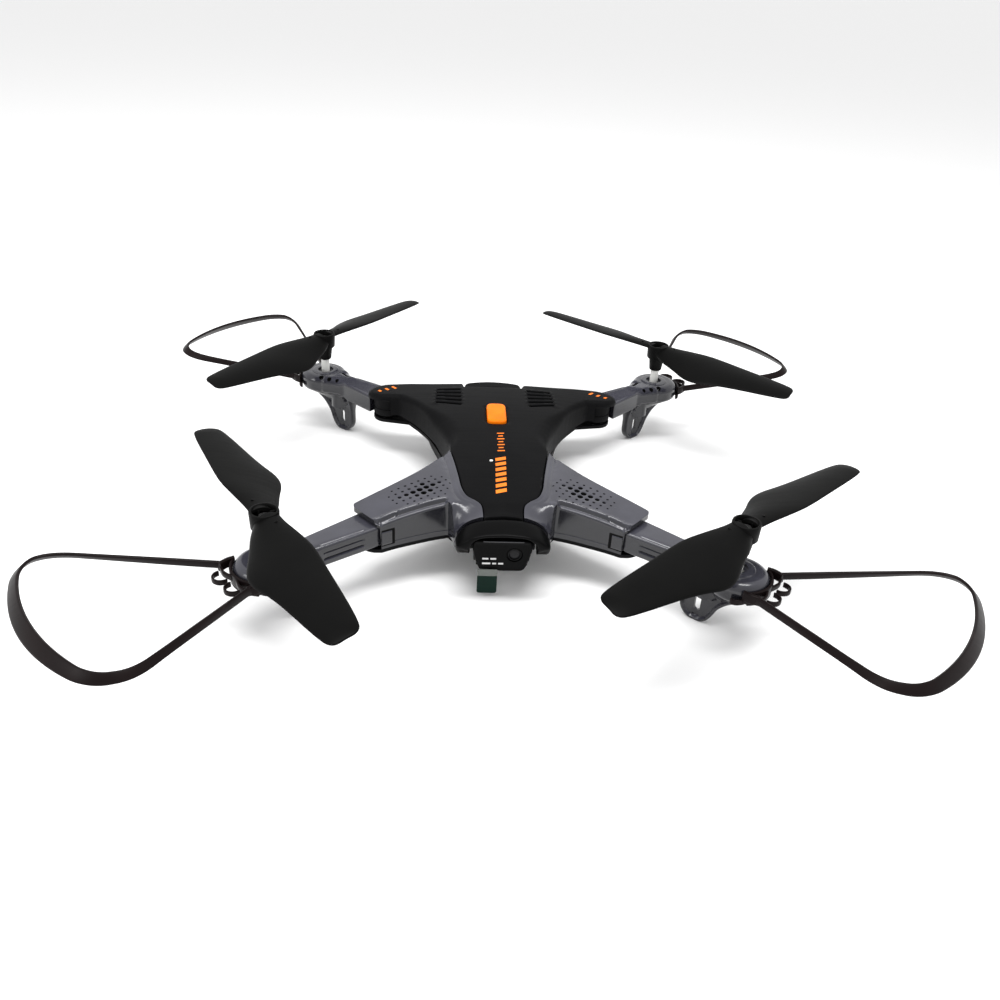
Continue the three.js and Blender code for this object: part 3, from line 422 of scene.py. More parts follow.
def slab(region, top, bottom, step=1.3, rings=(0.15, 0.45, 1), hole_rings=(0.12, 0.35), creases=(), rows=()):
    """A solid between two height functions of (x, y, distance to outline, distance to holes).

    Rings add points at those distances inside the edges, creases are lines the faces must follow, and rows shape
    the side wall: each is a function of (points, top, bottom) that gives a height and how far it stands out.
    """
    v, t = triangulated(region, step, rings, hole_rings, creases)
    outer, holes = region.distances(v)
    z_top = top(v[:, 0], v[:, 1], outer, holes)
    z_bottom = np.minimum(bottom(v[:, 0], v[:, 1], outer, holes), z_top - 0.02)
    directed = {(a, b) for f in t for a, b in ((f[0], f[1]), (f[1], f[2]), (f[2], f[0]))}
    rim = [(a, b) for a, b in directed if (b, a) not in directed]
    outward = np.zeros_like(v)
    for a, b in rim:
        d = v[b] - v[a]
        normal = np.array([d[1], -d[0]]) / max(1e-9, hypot(*d))
        outward[a] += normal
        outward[b] += normal
    outward /= np.maximum(np.linalg.norm(outward, axis=1), 1e-9)[:, None]
    edge = sorted({a for pair in rim for a in pair})
    points = [np.column_stack([v, z_top]), np.column_stack([v, z_bottom])]
    levels = [{a: a for a in edge}]
    for number, row in enumerate(rows):
        z, out = row(v[edge], z_top[edge], z_bottom[edge])
        z = np.clip(z, z_bottom[edge] + 0.004 * (len(rows) - number), z_top[edge] - 0.004 * (number + 1))
        points.append(np.column_stack([v[edge] + outward[edge] * np.asarray(out)[..., None], z]))
        first = 2 * len(v) + number * len(edge)
        levels.append({a: first + k for k, a in enumerate(edge)})
    levels.append({a: a + len(v) for a in edge})
    faces = [tuple(f) for f in t] + [tuple(f[::-1] + len(v)) for f in t]
    for upper, lower in zip(levels, levels[1:]):
        faces += [(lower[a], lower[b], upper[b], upper[a]) for a, b in rim]
    return Solid(np.vstack(points), faces)


def wall_rows(levels, held):
    """Rows of a side wall, each a height and how far it is cut in where held(points, bottom) is true."""

    def row(height, depth):
        return lambda v, high, low: (np.full(len(v), height), np.where(held(v, low), -depth, 0))

    return [row(*level) for level in levels]


def loft(rings, wrap=False):
    """Faces between closed rings of equal size; the two ends are capped unless the rings wrap round."""
    rings = np.asarray(rings, float)
    n, m = rings.shape[:2]
    faces = []
    for i in range(n if wrap else n - 1):
        here, over = i * m, (i + 1) % n * m
        faces += [(here + j, here + (j + 1) % m, over + (j + 1) % m, over + j) for j in range(m)]
    if not wrap:
        faces += [tuple(range(m))[::-1], tuple(range((n - 1) * m, n * m))]
    return Solid(rings.reshape(-1, 3), faces)


def turned(profile, sides=40, wrap=False):
    """A profile of (radius, height) turned about Z."""
    return loft([np.column_stack([circle(0, 0, r, sides), np.full(sides, z)]) for r, z in profile], wrap)


def plate(loop, low, high, edge=0.2, step=1.2):
    """A flat plate with rounded edges."""
    rings = (edge * 0.15, edge * 0.5, edge * 1.01)
    return slab(
        Region(loop), lambda x, y, d, h: high - drop(d, edge), lambda x, y, d, h: low + drop(d, edge), step, rings
    )


def piece(name, solid, body, materials, slot, replaces=None, sharp=38):
    """Makes the mesh, lets it ride on its body, and hides the CAD node it stands for."""
    mesh = bpy.data.meshes.new(name)
    mesh.from_pydata([tuple(p) for p in solid.points * MM], [], solid.faces)
    mesh.polygons.foreach_set("material_index", solid.paint)
    work = bmesh.new()
    work.from_mesh(mesh)
    bmesh.ops.dissolve_degenerate(work, dist=1e-7, edges=work.edges)
    bmesh.ops.recalc_face_normals(work, faces=work.faces)
    for face in work.faces:
        face.smooth = True
    work.to_mesh(mesh)
    work.free()
    mesh.set_sharp_from_angle(angle=radians(sharp))
    made = bpy.data.objects.new(name, mesh)
    bpy.context.scene.collection.objects.link(made)
    for finish in materials:
        mesh.materials.append(finish)
    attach(made, body)
    if replaces:
        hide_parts(replaces)


def refined(name, solid, body, materials, slot, node=None, **settings):
    """A piece that stands for a CAD node, which has the same name unless one is given."""
    piece(name + "_fine", solid, body, materials, slot, node or name, **settings)


# -------- body

CROWN_TOP, CROWN_RISE, CROWN_SPAN = 36, 30, 130  # the roof is part of a large ellipsoid
ROOF, WALL = 1.8, 1.66  # thicknesses
SPLIT = 22.15  # lower rim of the top shell
WING_LOW = 18.3  # and of the wings
TRAY_TOP = 21.85
FLOOR_LOW, FLOOR_HIGH = 12, 13.6
JAW_LOW, JAW_HIGH = 16.3, 18  # plates under the arm roots
ARM_CEILING, CAMERA_CEILING, BATTERY_CEILING = 28.3, 27.2, 28.7  # over the rooms in the shells
ROOT_HALF, ROOT_ROUND = 7.7, 8  # the room round an arm's root
NOSE_REAR = -59.7
BUTTON_Y = 21.5
WAIST = (19.8, -14.4)
SEAM = [(7.3, -58), (7.9, -53), (10.3, -50), (13.4, -47.2), (15.2, -42), (16.4, -33.7), (18.2, -22.5), WAIST]
REAR_SIDE = [WAIST, (20.7, -3), (23.4, 9), (28.6, 22), (35.4, 35), (43.4, 45.5)]
REAR_SIDE_LOW = [WAIST, (20.5, -3), (22.8, 9), (26.4, 22), (31.6, 35), (39.5, 47.5)]
WING_REAR = [(55.6, -49.6), (43, -39.5), (32.5, -30), (24.5, -20.5), WAIST]
WING_FRONT = [(20.4, -50.8), (26.3, -52.9), (33, -55.9), (39.4, -59), (44.6, -62)]
HOOD_ARCH = [0, 8.6, 12, 14.6, 16.6, 17.6, 18.6], [32.8, 31.9, 30.6, 28.9, 26.4, 24.4, 22.5]


def crown(x, y):
    return CROWN_TOP - CROWN_RISE + CROWN_RISE * np.sqrt(1 - (x * x + y * y) / CROWN_SPAN**2)


def arm_angle(hinge):
    return atan2(MOTOR[1] - hinge[1], MOTOR[0] - hinge[0])


def arm_length(hinge):
    return hypot(MOTOR[1] - hinge[1], MOTOR[0] - hinge[0])


def in_sweep(x, y, hinge, sign):
    """Whether a point is in the space that the roots of a pair of arms sweep between open and folded."""
    a = arm_angle(hinge)
    dx, dy = np.abs(x) - hinge[0], y * sign - hinge[1]
    along, left = dx * cos(a) + dy * sin(a), dy * cos(a) - dx * sin(a)
    opened = (along > 0) & (np.abs(left) < ROOT_HALF)
    folded = (left < 0) & (np.abs(along) < ROOT_HALF)
    return (np.hypot(dx, dy) < ROOT_ROUND) | opened | folded | ((along > 0) & (left < 0))


def sweep_edges(hinge, sign):
    """Two lines close together along the boundary of that space, so that its walls stand upright."""
    a = arm_angle(hinge)
    start = degrees(a) + 90
    opened, folded = np.array([cos(a), sin(a)]), np.array([sin(a), -cos(a)])
    lines = []
    for radius in (ROOT_HALF + 0.15, ROOT_HALF + 0.3):
        back = arc(0, 0, radius, start, start + 90)
        line = np.vstack([[back[0] + opened * 24], back, [back[-1] + folded * 24]])
        lines.append(even(line, 1) * (1, sign) + (hinge[0], hinge[1] * sign))
    return lines


def rear_end(radius):
    return np.vstack([arc(*REAR_HINGE, radius, -75, 98), spline([(40, 65), (28, 63.4), (14, 63.3)])])


BATTERY_NOTCH = np.array([(14, 58.6), (0, 58.6)])
ROOF_RIGHT = np.vstack(
    [[(0, NOSE_REAR), (7.3, NOSE_REAR)], spline(SEAM), spline(REAR_SIDE)[1:], rear_end(9.3), BATTERY_NOTCH]
)


def roof_edge(y):
    """Rounding of the roof's edge: tight along the seam, wide along the waist, tighter at the rear hinges."""
    return 0.6 + 5.6 * smooth(y, -15, 4) - 3.6 * smooth(y, 14, 32) - 0.8 * smooth(y, 48, 60)


def nose_fall(x, y):
    """How far the shells drop towards the nose, to meet the arch of the hood."""
    fall = np.maximum(0, crown(x, y) - np.interp(np.abs(x), *HOOD_ARCH))
    return fall * (1 - smooth(y, NOSE_REAR, -51)) * (1 - smooth(np.abs(x), 18.7, 19.6))


def over_camera(x, y):
    return (np.abs(x) < 15.5) & (y < -46)


def raised(under, room, ceiling):
    """The underside of a shell, lifted over a room to its ceiling."""
    return np.where(room, np.maximum(under, ceiling), under)


def top_shell():
    vents = []
    for side, k in product((1, -1), range(5)):
        slot = rounded_box(0, 0, 6 - 0.15 * k, 0.95, 0.8)
        vents.append(swung(slot, side * (14 - 4.5 * k)) + (side * 21, 34.4 + 4.6 * k))
    button_hole = rounded_box(0, BUTTON_Y, 4.5, 9.5, 3.2)
    light_hole = circle(-3.6, -21.8, 0.8, 14)
    region = Region(both_sides(ROOF_RIGHT), [button_hole, light_hole, *vents])

    def top(x, y, d, h):
        dish = 0.3 * (1 - smooth(h, 0.7, 1.3)) * (np.hypot(x, (y - BUTTON_Y) * 0.5) < 8)
        vent_rim = 0.25 * (1 - smooth(h, 0.5, 1.1)) * (y > 34) * (h > 0.36)
        return crown(x, y) - nose_fall(x, y) - drop(d, roof_edge(y)) - drop(h, 0.35) - dish + vent_rim

    def bottom(x, y, d, h):
        inner = np.minimum(crown(x, y) - ROOF, top(x, y, d, np.full(len(x), 9)) - 1.1)
        under = np.where(d > WALL, inner, SPLIT)
        under = raised(under, over_camera(x, y), CAMERA_CEILING)
        under = raised(under, in_sweep(x, y, REAR_HINGE, 1), ARM_CEILING)
        return raised(under, (np.abs(x) < 12.7) & (y > 40), BATTERY_CEILING)

    def tuck(v, high, low):
        return low + (high - low) * 0.55, np.full(len(v), -0.15)

    def lip(v, high, low):
        return low + 0.5, np.zeros(len(v))

    rings = (0.12, 0.35, 0.7, 1.2, 1.6, 1.72, 2.4, 3.2, 4.4, 5.8)
    creases = [line * (side, 1) for side in (1, -1) for line in sweep_edges(REAR_HINGE, 1)]
    return slab(region, top, bottom, 1.5, rings, (0.1, 0.35, 0.7, 1.3), creases, (tuck, lip))


WING_SEAM = spline([(x + 0.3, y - 0.15) for x, y in SEAM])
WING_NOSE = [(7.6, NOSE_REAR), (17.7, NOSE_REAR, 0.8), (18.7, -54, 2), (20.4, -50.8, 0.8)]
WING_TIP = [(46.6, -61.8, 1.4), (56, -51.4, 1.6), (55.6, -49.6, 0.8)]
WING_OUTLINE = outline(
    *WING_NOSE, spline(WING_FRONT)[2:], *WING_TIP, spline(WING_REAR)[2:-1], (20.3, -14.7), WING_SEAM[-2:0:-1]
)
LEAD_EDGE = spline([*WING_FRONT, (47, -62.6)])
LEAD_STEPS = (  # how far the chamfered front edge lies below the crown, at distances from that edge
    [0, 0.1, 0.25, 0.5, 1.2, 1.45, 1.6, 1.8, 2, 2.3, 2.7, 3.1],
    [2.5, 2, 1.7, 1.5, 1.42, 1.3, 0.75, 0.1, -0.28, -0.42, -0.25, 0],
)
HOLE_RADII = {(-3, 0): 0.7, (-2, 0): 0.95, (-1, 0): 1.05, (0, 0): 1.1, (1, 0): 1, (2, 0): 0.85, (3, 0): 0.65}
HOLE_RADII |= {(-1, -1): 0.95, (0, -1): 1.05, (1, -1): 0.8, (-1, 1): 0.9}


def lattice(i, j):
    """Centres of the grille's square pattern on the right wing."""
    return 31.4 + 2.45 * i + 1.6 * j, -42.9 - 1.59 * i + 2.13 * j


def right_wing():
    holes = [(*lattice(*place), r) for place, r in HOLE_RADII.items()]
    region = Region(WING_OUTLINE, [circle(*hole, 14) for hole in holes])
    dimples = []
    for i, j in product(range(-4, 5), range(-3, 3)):
        centre = np.array([lattice(i, j)])
        away = hypot(i, j * 1.5)
        if (i, j) not in HOLE_RADII and away < 5 and region.inside(centre)[0]:
            if region.distances(centre)[0][0] > 1.6:
                dimples.append((*centre[0], max(0.36, 0.82 - 0.09 * away)))

    def top(x, y, d, h):
        p = np.column_stack([x, y])
        chamfer = np.interp(to_line(p, LEAD_EDGE), *LEAD_STEPS) * smooth(x, 20.2, 22)
        seam = to_line(p, WING_SEAM)
        lip = 0.6 * smooth(seam, 0, 0.3) * (1 - smooth(seam, 0.7, 1.4)) * smooth(y, -52, -46)
        crease = 0.55 * np.exp(-(((seam - 3.2) / 0.6) ** 2)) * smooth(y, -58, -46)
        z = crown(x, y) - np.where(chamfer > 0, np.maximum(drop(d, 0.55), chamfer), chamfer)
        return z - drop(h, 0.3) + lip - crease - nose_fall(x, y) - 0.45 * in_circles(x, y, dimples, 0.8)

    def bottom(x, y, d, h):
        under = np.where((d > WALL) | (h < 1e-6), crown(x, y) - ROOF, WING_LOW)
        under = raised(under, in_sweep(x, y, FRONT_HINGE, -1), ARM_CEILING)
        under = raised(under, over_camera(x, y), CAMERA_CEILING)
        inland = np.full(len(x), 9)
        return np.minimum(under, top(x, y, inland, inland) - 1.1)

    rings = (0.1, 0.25, 0.5, 1.2, 1.45, 1.6, 1.72, 1.85, 2, 2.3, 2.7, 3.1)
    creases = sweep_edges(FRONT_HINGE, -1) + round_creases(dimples, (1, 0.7), 9)
    parting = wall_rows([(20.9, 0), (20.75, 0.28), (20.45, 0.28), (20.3, 0)], lambda v, low: low < 25)
    shell = slab(region, top, bottom, 1.4, rings, (0.1, 0.3), creases, parting)
    # Hole walls and dimple floors get painted shade.
    pits = [(cx, cy, r - 0.02) for cx, cy, r in holes] + [(cx, cy, r * 0.78) for cx, cy, r in dimples]
    return shell.dark_where(lambda x, y, z: in_circles(x, y, pits))


TRAY_SIDE = [(12.9, -46), (14.2, -38), (16.5, -28), (18.6, -14.4), (19.7, -3)]
TRAY_SIDE += [(22.3, 9), (25.9, 22), (29.5, 36), (31, 50), (31, 63)]
TRAY_RIGHT = np.vstack([[(0, -46), (12.9, -46)], spline(TRAY_SIDE), [(14, 63.2)], BATTERY_NOTCH])
FLOOR_FRONT = spline([(x, y + 0.4) for x, y in WING_FRONT])
FLOOR_SIDE = [arc(FRONT_HINGE[0], -FRONT_HINGE[1], 8.8, -80, 40), spline(WING_REAR)[6:], spline(REAR_SIDE_LOW)[1:]]
FLOOR_NOSE = [(0, -46), (15.5, -46), (15.5, -53), (18.6, -53)]
FLOOR_RIGHT = np.vstack([FLOOR_NOSE, FLOOR_FRONT, *FLOOR_SIDE, rear_end(6.8), BATTERY_NOTCH])


def bottom_shell():
    tray = both_sides(TRAY_RIGHT)
    room = Region(tray)

    def depth(x, y):
        """How far inside the tray's wall a point is, or -1 outside it."""
        p = np.column_stack([x, y])
        return np.where(room.inside(p), room.distances(p)[0], -1)

    def top(x, y, d, h):
        inset = depth(x, y)
        z = np.where(inset < 0.1, JAW_HIGH, np.where(inset < WALL, TRAY_TOP, FLOOR_HIGH))
        swept = in_sweep(x, y, FRONT_HINGE, -1) | in_sweep(x, y, REAR_HINGE, 1)
        z = np.where(swept, np.minimum(z, JAW_HIGH), z)
        return np.where((np.abs(x) < 13) & (y > 50), FLOOR_HIGH, z)

    def bottom(x, y, d, h):
        inset = depth(x, y)
        return np.where(inset < 0.1, JAW_LOW + drop(d, 0.5), FLOOR_LOW + drop(np.maximum(inset, 0), 1.6))

    walls = [closed(room.inset(tray, inset, 0.9)) for inset in (0.06, 0.2, 1.6, 1.72)]
    return slab(Region(both_sides(FLOOR_RIGHT)), top, bottom, step=1.9, rings=(0.15, 0.5, 1.2), creases=walls)


def roof_mark(cx, cy, half_x, half_y, lean, way=0):
    """A thin printed mark on the roof: a slanted box, turned by some degrees."""
    corners = np.array([(-half_x, -half_y), (half_x, -half_y + lean), (half_x, half_y + lean), (-half_x, half_y)])
    loop = outline(*map(tuple, swung(corners, way) + (cx, cy)), step=1.2)
    return slab(
        Region(loop), lambda x, y, d, h: crown(x, y) + 0.05, lambda x, y, d, h: crown(x, y) - 0.2, 1.5, rings=(0.2,)
    )


def build_body():
    refined("top_shell", top_shell(), "body", [BLACK], "black_shell")
    wing = right_wing()
    front = spline(WING_FRONT, 0.6)
    panel = strip(front[front[:, 0] > 40.8] - (0, 0.1), 22.9, 5.6, 0.9, 0)
    # A dark strip just beyond the panel: a painted shadow in the gap round it.
    painted_shadow_gap = strip(front[front[:, 0] > 39.9], 22.9, 6.9, 0.5, 0).painted(1)
    sides = {"right": Matrix.Identity(4), "left": MIRROR}
    for side, way in sides.items():
        refined("wing_shell_" + side, wing.at(way), "body", [GREY, PAINTED_SHADE], "grey_shell")
    for side, way in sides.items():
        piece("hinge_panel_" + side, (panel + painted_shadow_gap).at(way), "body", [GREY, PAINTED_SHADE], "grey_shell")
    refined("bottom_shell", bottom_shell(), "body", [BLACK], "black_shell")
    marks = [roof_mark(-0.4 + 0.1 * k, -44.6 + 3.9 * k, 2.1, 1.15, 1.5) for k in range(7)]
    marks += [roof_mark(0.7 + 0.05 * k, -13.8 + 2.6 * k, 1.5 - 0.5 * (k % 2), 0.42, 0.3) for k in range(7)]
    for side, k in product((1, -1), range(3)):
        marks.append(roof_mark(side * (46.8 + 3.2 * k), 58.4 - 1.9 * k, 0.6, 2 - 0.4 * k, 0.3, side * -30))
    piece("roof_print", joined(marks), "body", [PRINT], "orange")


# -------- nose and camera

CAMERA_FRONT = -63.2  # back of the face plate
PLATE_THICK = 1.3
FILM_SPLIT = 9.6  # the film is green below this height and clear above it


def hood():
    """The visor: one rounded section carried over an arch, its legs cut back along a slant."""
    outer = spline([(-17, 16.7), (-17.7, 19.5), (-17.6, 24), (-14.6, 28.6), (-8.6, 31.5), (0, 32.4)], 0.9)
    inner = spline([(-12.9, 16.7), (-12.9, 19.5), (-12.6, 22.2), (-11.1, 24.7), (-7.5, 25.95), (0, 26.2)], 0.9)
    outer, inner = (np.vstack([line, line[-2::-1] * (-1, 1)]) for line in (outer, inner))
    outer = even(outer, 1)
    ends = np.array([0, 0.003, 0.008, 0.016, 0.028])
    share = np.concatenate([ends, np.linspace(0.05, 0.95, 33), 1 - ends[::-1]])
    outer, inner = (sampled(line, share * run(line)[-1]) for line in (outer, inner))
    across, forward = (0.5 * squared(wave(all_round(28)), 0.5) for wave in (np.cos, np.sin))
    eta = 0.5 + forward
    rings = []
    for k, s in enumerate(share):
        end = min(s, 1 - s)
        close = 1 - 0.16 * (1 - min(1, end / 0.025)) ** 2
        leg = 1 - float(smooth(end, 0, 0.2))
        thin = float(smooth(end, 0.06, 0.34))
        y = NOSE_REAR - 0.3 - 9.4 * (0.5 + forward * close) * (1 - 0.12 * leg)
        low, high = eta * (-0.2 + 0.68 * thin), 1 - eta * (0.1 + 0.2 * thin)
        outward = low + (0.5 + across * close) * (high - low)
        x, z = (inner[k, i] + (outer[k, i] - inner[k, i]) * outward for i in (0, 1))
        rings.append(np.column_stack([x, y, z + 4.6 * eta * leg]))
    return loft(rings)


def build_nose():
    ear = plate(
        outline((-63, 20), (-59.6, 20), (-59.6, 17.6, 1), (-52, 17.6, 1.5), (-52, 23, 1.5), (-63, 23, 0.6)), 0, 1.7
    )
    upright = Matrix(((0, 0, 1, 12.9), (1, 0, 0, 0), (0, 1, 0, 0), (0, 0, 0, 1)))
    ears = ear.at(upright) + ear.at(MIRROR @ upright)
    refined("nose_hood", hood() + ears, "body", [HOOD], "gloss_black", sharp=50)

    forward = shift(0, CAMERA_FRONT) @ FACING
    side = spline([(9.1, 13.6), (10.2, 17), (11, 20.4)])
    lower, upper = [(-8.1, 11.4, 1.7), (8.1, 11.4, 1.7)], [(11.2, 24.6, 2), (-11.2, 24.6, 2)]
    face = slab(
        Region(outline(*lower, side, *upper, side[::-1] * (-1, 1), step=0.6), [circle(4.6, 18.6, 2.95, 28)]),
        lambda x, y, d, h: PLATE_THICK - drop(d, 0.55) - 0.16 * smooth(d, 0.7, 1) - drop(h, 0.2) * 0.8,
        lambda x, y, d, h: 0 * x,
        1,
        rings=(0.1, 0.3, 0.55, 0.75, 1),
        hole_rings=(0.1, 0.22),
    )
    # A grey bar on the plate's top edge: a painted highlight where the hood shades the edge.
    rim = plate(rounded_box(0.3, 24.35, 7.6, 0.24, 0.2, 0.4), 0.9, 1.42, 0.1).painted(1)
    finishes = [HOOD, GREY]
    refined("camera_faceplate", (face + rim).at(forward), "camera", finishes, "gloss_black")
    bars = []
    for z, lengths in ((16.9, (2.3, 2.2)), (14.8, (3.1, 1.5, 1.9))):
        x = -7.4
        for length in lengths:
            bars.append(plate(rounded_box(x + length / 2, z, length / 2, 0.36, 0.15, 0.4), 1.2, 1.32, 0.04))
            x += length + 0.7
    piece("camera_marks", joined(bars).at(forward), "camera", [MARK], "white_plastic")
    ring = turned([(2.6, 0), (2.6, 0.9), (2.45, 1.02), (2.2, 0.9), (2.1, 0.6), (2.1, 0.3), (2.1, 0)])
    dome = turned([(2.05, 0.1), (2.05, 0.4), (1.8, 0.56), (1.3, 0.68), (0.6, 0.74), (0.05, 0.75)], 32).painted(1)
    place = shift(4.6, CAMERA_FRONT, 18.6) @ FACING
    refined("camera_lens", (ring + dome).at(place), "camera", [LENS_RING, LENS], "lens_glass")

    film = slab(
        Region(outline((-9, 1.8, 0.9), (-1.5, 1.8, 0.9), (-1.5, 12.6, 0.3), (-9, 12.6, 0.3), step=0.7)),
        lambda x, y, d, h: 0.42 - drop(d, 0.15) + 0.05 * np.sin(x * 0.9),
        lambda x, y, d, h: 0.1 + 0.05 * np.sin(x * 0.9),
        0.8,
        rings=(0.06, 0.16),
        creases=[even([(-9.5, FILM_SPLIT), (-1, FILM_SPLIT)], 0.6)],
    ).dark_where(lambda x, y, z: y > FILM_SPLIT)
    place = shift(0, CAMERA_FRONT - PLATE_THICK - 0.3) @ FACING
    refined("lens_film", film.at(place), "camera", [FILM_GREEN, FILM_CLEAR], "film_green", "lens_film_tab")


# -------- button, battery

CAP_GROOVES = [(29, 0), (28.6, 0.4), (28.2, 0), (27.6, 0), (27.2, 0.4), (26.8, 0)]
CAP_GROOVES += [(26, 0), (25.7, 1.4), (17.2, 1.4), (16.9, 0)]


def build_top_details():
    half_x, half_y = 4.2, 9.2
    button = slab(
        Region(rounded_box(0, BUTTON_Y, half_x, half_y, 3)),
        lambda x, y, d, h: 36.75 + 0.2 * (1 - (x / half_x) ** 2) * (1 - ((y - BUTTON_Y) / half_y) ** 2) - drop(d, 0.8),
        lambda x, y, d, h: 33.3 + 0 * x,
        0.9,
        rings=(0.08, 0.25, 0.5, 0.8),
    )
    refined("power_button", button, "power_button", [ORANGE], "orange")

    cap = slab(
        Region(rounded_box(0, 63, 13.5, 4, 2.4)),
        lambda x, y, d, h: 31.8 - drop(d, 1.5) - 1.3 * (x / 13.5) ** 2,
        lambda x, y, d, h: 13 + drop(d, 1),
        0.9,
        rings=(0.12, 0.4, 0.9, 1.5),
        rows=wall_rows(CAP_GROOVES, lambda v, low: (v[:, 1] > 64.5) & (np.abs(v[:, 0]) < 10)),
    )
    cell = plate(rounded_box(0, 35, 12.2, 25, 1.5), 14.3, 28.2, 1, 3)
    refined("battery_pack", cap + cell, "battery", [BLACK], "black_shell")


# -------- arms

ARM_LOW, ARM_TOP, POD_TOP = 19, 27.6, 28
POD_CENTRE, POD_ROUND = 1, 11
NECK = -17  # where the beam meets the pod, from the propeller axis
GEAR_ROOM, MOTOR_ROOM, MOTOR_AXIS = 8.7, 4.45, 9.6
ROOM_CEILING = 26.95
BOSS_RINGS = (6.55, 6.45, 3.72, 3.6, 8.65, 8.8)
PIPS = ((-4.6, -7.3, 1.15), (-8.7, -6, 1.05), (-12.6, -4.6, 0.85))  # round pits beside the neck
BEAM_GROOVES = [(24.9, 0), (24.7, 0.9), (24.1, 0.9), (23.9, 0.5), (22.2, 0.5), (22, 0.9), (21.5, 0.9), (21.3, 0)]


def arm_outline(length, knuckle):
    if knuckle:
        root = [(-length + 5.5, 6.9, 0.5), (-length + 5.5, -6.9, 0.5)]
    else:
        root = [arc(-length, 0, 7, 90, 270)]
    neck = [(-17, -5), (-11.5, -6.6), (-7, -8.6), (-5.9, -8.7)]
    other = [(x, -y) for x, y in neck[::-1]]
    return outline(spline(neck), arc(POD_CENTRE, 0, POD_ROUND, -128, 128), spline(other), *root)


def arm(length, knuckle):
    """Arm and motor pod: beam, rounded pod with its boss, and the rooms for gear and motor underneath."""
    slot = rounded_box(-11.2, 2.6, 2.9, 0.7, 0.65, 0.5) @ np.array([[0.97, 0.22], [-0.22, 0.97]]) + (0.4, 2.3)
    region = Region(arm_outline(length, knuckle), [circle(0, 0, 2.6, 24), slot])
    root = -length + 9

    def top(x, y, d, h):
        pod = smooth(x, -19, -14)
        z = ARM_TOP + (POD_TOP - ARM_TOP) * pod - drop(d, 1.3 + 2.2 * pod)
        ridge = (y > 0) * smooth(x, root, root + 2) * (1 - smooth(x, -18, -16))
        z -= ridge * 0.38 * np.exp(-(((d - 1.5) / 0.28) ** 2))
        z -= 0.5 * smooth(y, 0, 1.5) * (1 - smooth(np.hypot(x + 11.5, (y - 5) * 1.4), 2, 4))
        reach = np.hypot(x, y)
        z = np.where(reach < 6.5, 28.4 - 0.2 * smooth(reach, 6, 6.5), z)
        z = np.where(reach < 3.67, 27.5, z)
        return z - 1.9 * in_circles(x, y, PIPS, 0.93) - drop(h, 0.25) * (reach > 5)

    def bottom(x, y, d, h):
        z = np.where(x < -19.4, ARM_LOW + drop(d, 0.9), 19.8 + drop(d, 2.4) * smooth(x, -19, -13))
        room = (np.hypot(x, y) < GEAR_ROOM) | (np.hypot(x + MOTOR_AXIS, y) < MOTOR_ROOM)
        return np.where(room, ROOM_CEILING, z)

    creases = round_creases([(0, 0, 1)], BOSS_RINGS, 40) + round_creases(PIPS, (1, 0.9), 16)
    rings = (0.12, 0.4, 0.8, 1.15, 1.35, 1.5, 1.65, 1.85, 2.3, 3.5)
    grooves = wall_rows(BEAM_GROOVES, lambda v, low: (v[:, 1] > 0) & (v[:, 0] > root + 3) & (v[:, 0] < -19.5))
    whole = slab(region, top, bottom, 1.3, rings, (0.1, 0.25), creases, grooves)
    # The pits' walls and floors get painted shade.
    return whole.dark_where(lambda x, y, z: in_circles(x, y, PIPS, 0.95) & (z > 25))


def pod_half_width(u):
    round_end = np.sqrt(np.maximum(0, POD_ROUND**2 - (u - POD_CENTRE) ** 2)) * (u > -6)
    neck = np.interp(u, [-18.7, -17, -11.5, -7, -5.9], [4.7, 4.9, 6.5, 8.4, 8.7])
    return np.where(u > -5.9, np.maximum(round_end, 1.5), neck) - 0.35 - 1.9 * smooth(u, -19, -13)


def leg():
    """The landing leg: a rimmed fin with a slot that swells upward into the pod's floor and the motor tube."""
    end, front, top = -18.6, 11.6, 19.5
    curve = spline([(-6.9, 1.95), (-5.5, 4.2), (-3.4, 8.6), (0.5, 12.6), (6, 15.7), (front, 17.8)])
    side = outline(arc(-11.9, 6.4, 6.7, 180, 318), curve, (front, top), (end, top), (end, 8), step=0.9)
    side[:, 1] = np.maximum(side[:, 1], 0)
    slot = rounded_box(-11.8, 7.2, 1.25, 3.1, 1.2, 0.6)
    eye = circle(-15.9, 17.2, 0.95, 14)

    def half_thickness(u, z, d, h):
        rim = 1.75 - 1.05 * smooth(d, 0.9, 1.6) - drop(d, 0.5)
        groove = 0.45 * (np.abs(u + 11.8) < 1.25) * (z < 4.1) * (z > 1.5)
        start = np.maximum(11.5, np.interp(u, [-5, 0.5, 6, front], [11.5, 12.6, 15.7, 17.6]))
        swell = np.clip((z - start) / (top - start + 1e-6), 0, 1) ** 1.5
        wide = rim - groove + (pod_half_width(u) - rim) * swell
        wide = np.where((h < 0.9) & (z > 13), 0.9, wide)
        tube = np.sqrt(np.maximum(0, 4.3**2 - (u + MOTOR_AXIS) ** 2)) * smooth(z, 10.4, 12.2)
        return np.maximum(wide, tube * (h > 0.25))

    rings = (0.1, 0.3, 0.55, 0.95, 1.3, 1.65)
    return slab(Region(side, [slot, eye]), half_thickness, lambda *at: -half_thickness(*at), 1, rings, (0.15, 0.4))


KNUCKLE = [(0.4, 19.2), (6.3, 19.2), (6.7, 19.6), (6.7, 22.4), (6.5, 22.6), (6.5, 22.9), (6.7, 23.1), (6.7, 27.1)]
KNUCKLE += [(6.3, 27.5), (0.4, 27.5)]

# -------- propellers

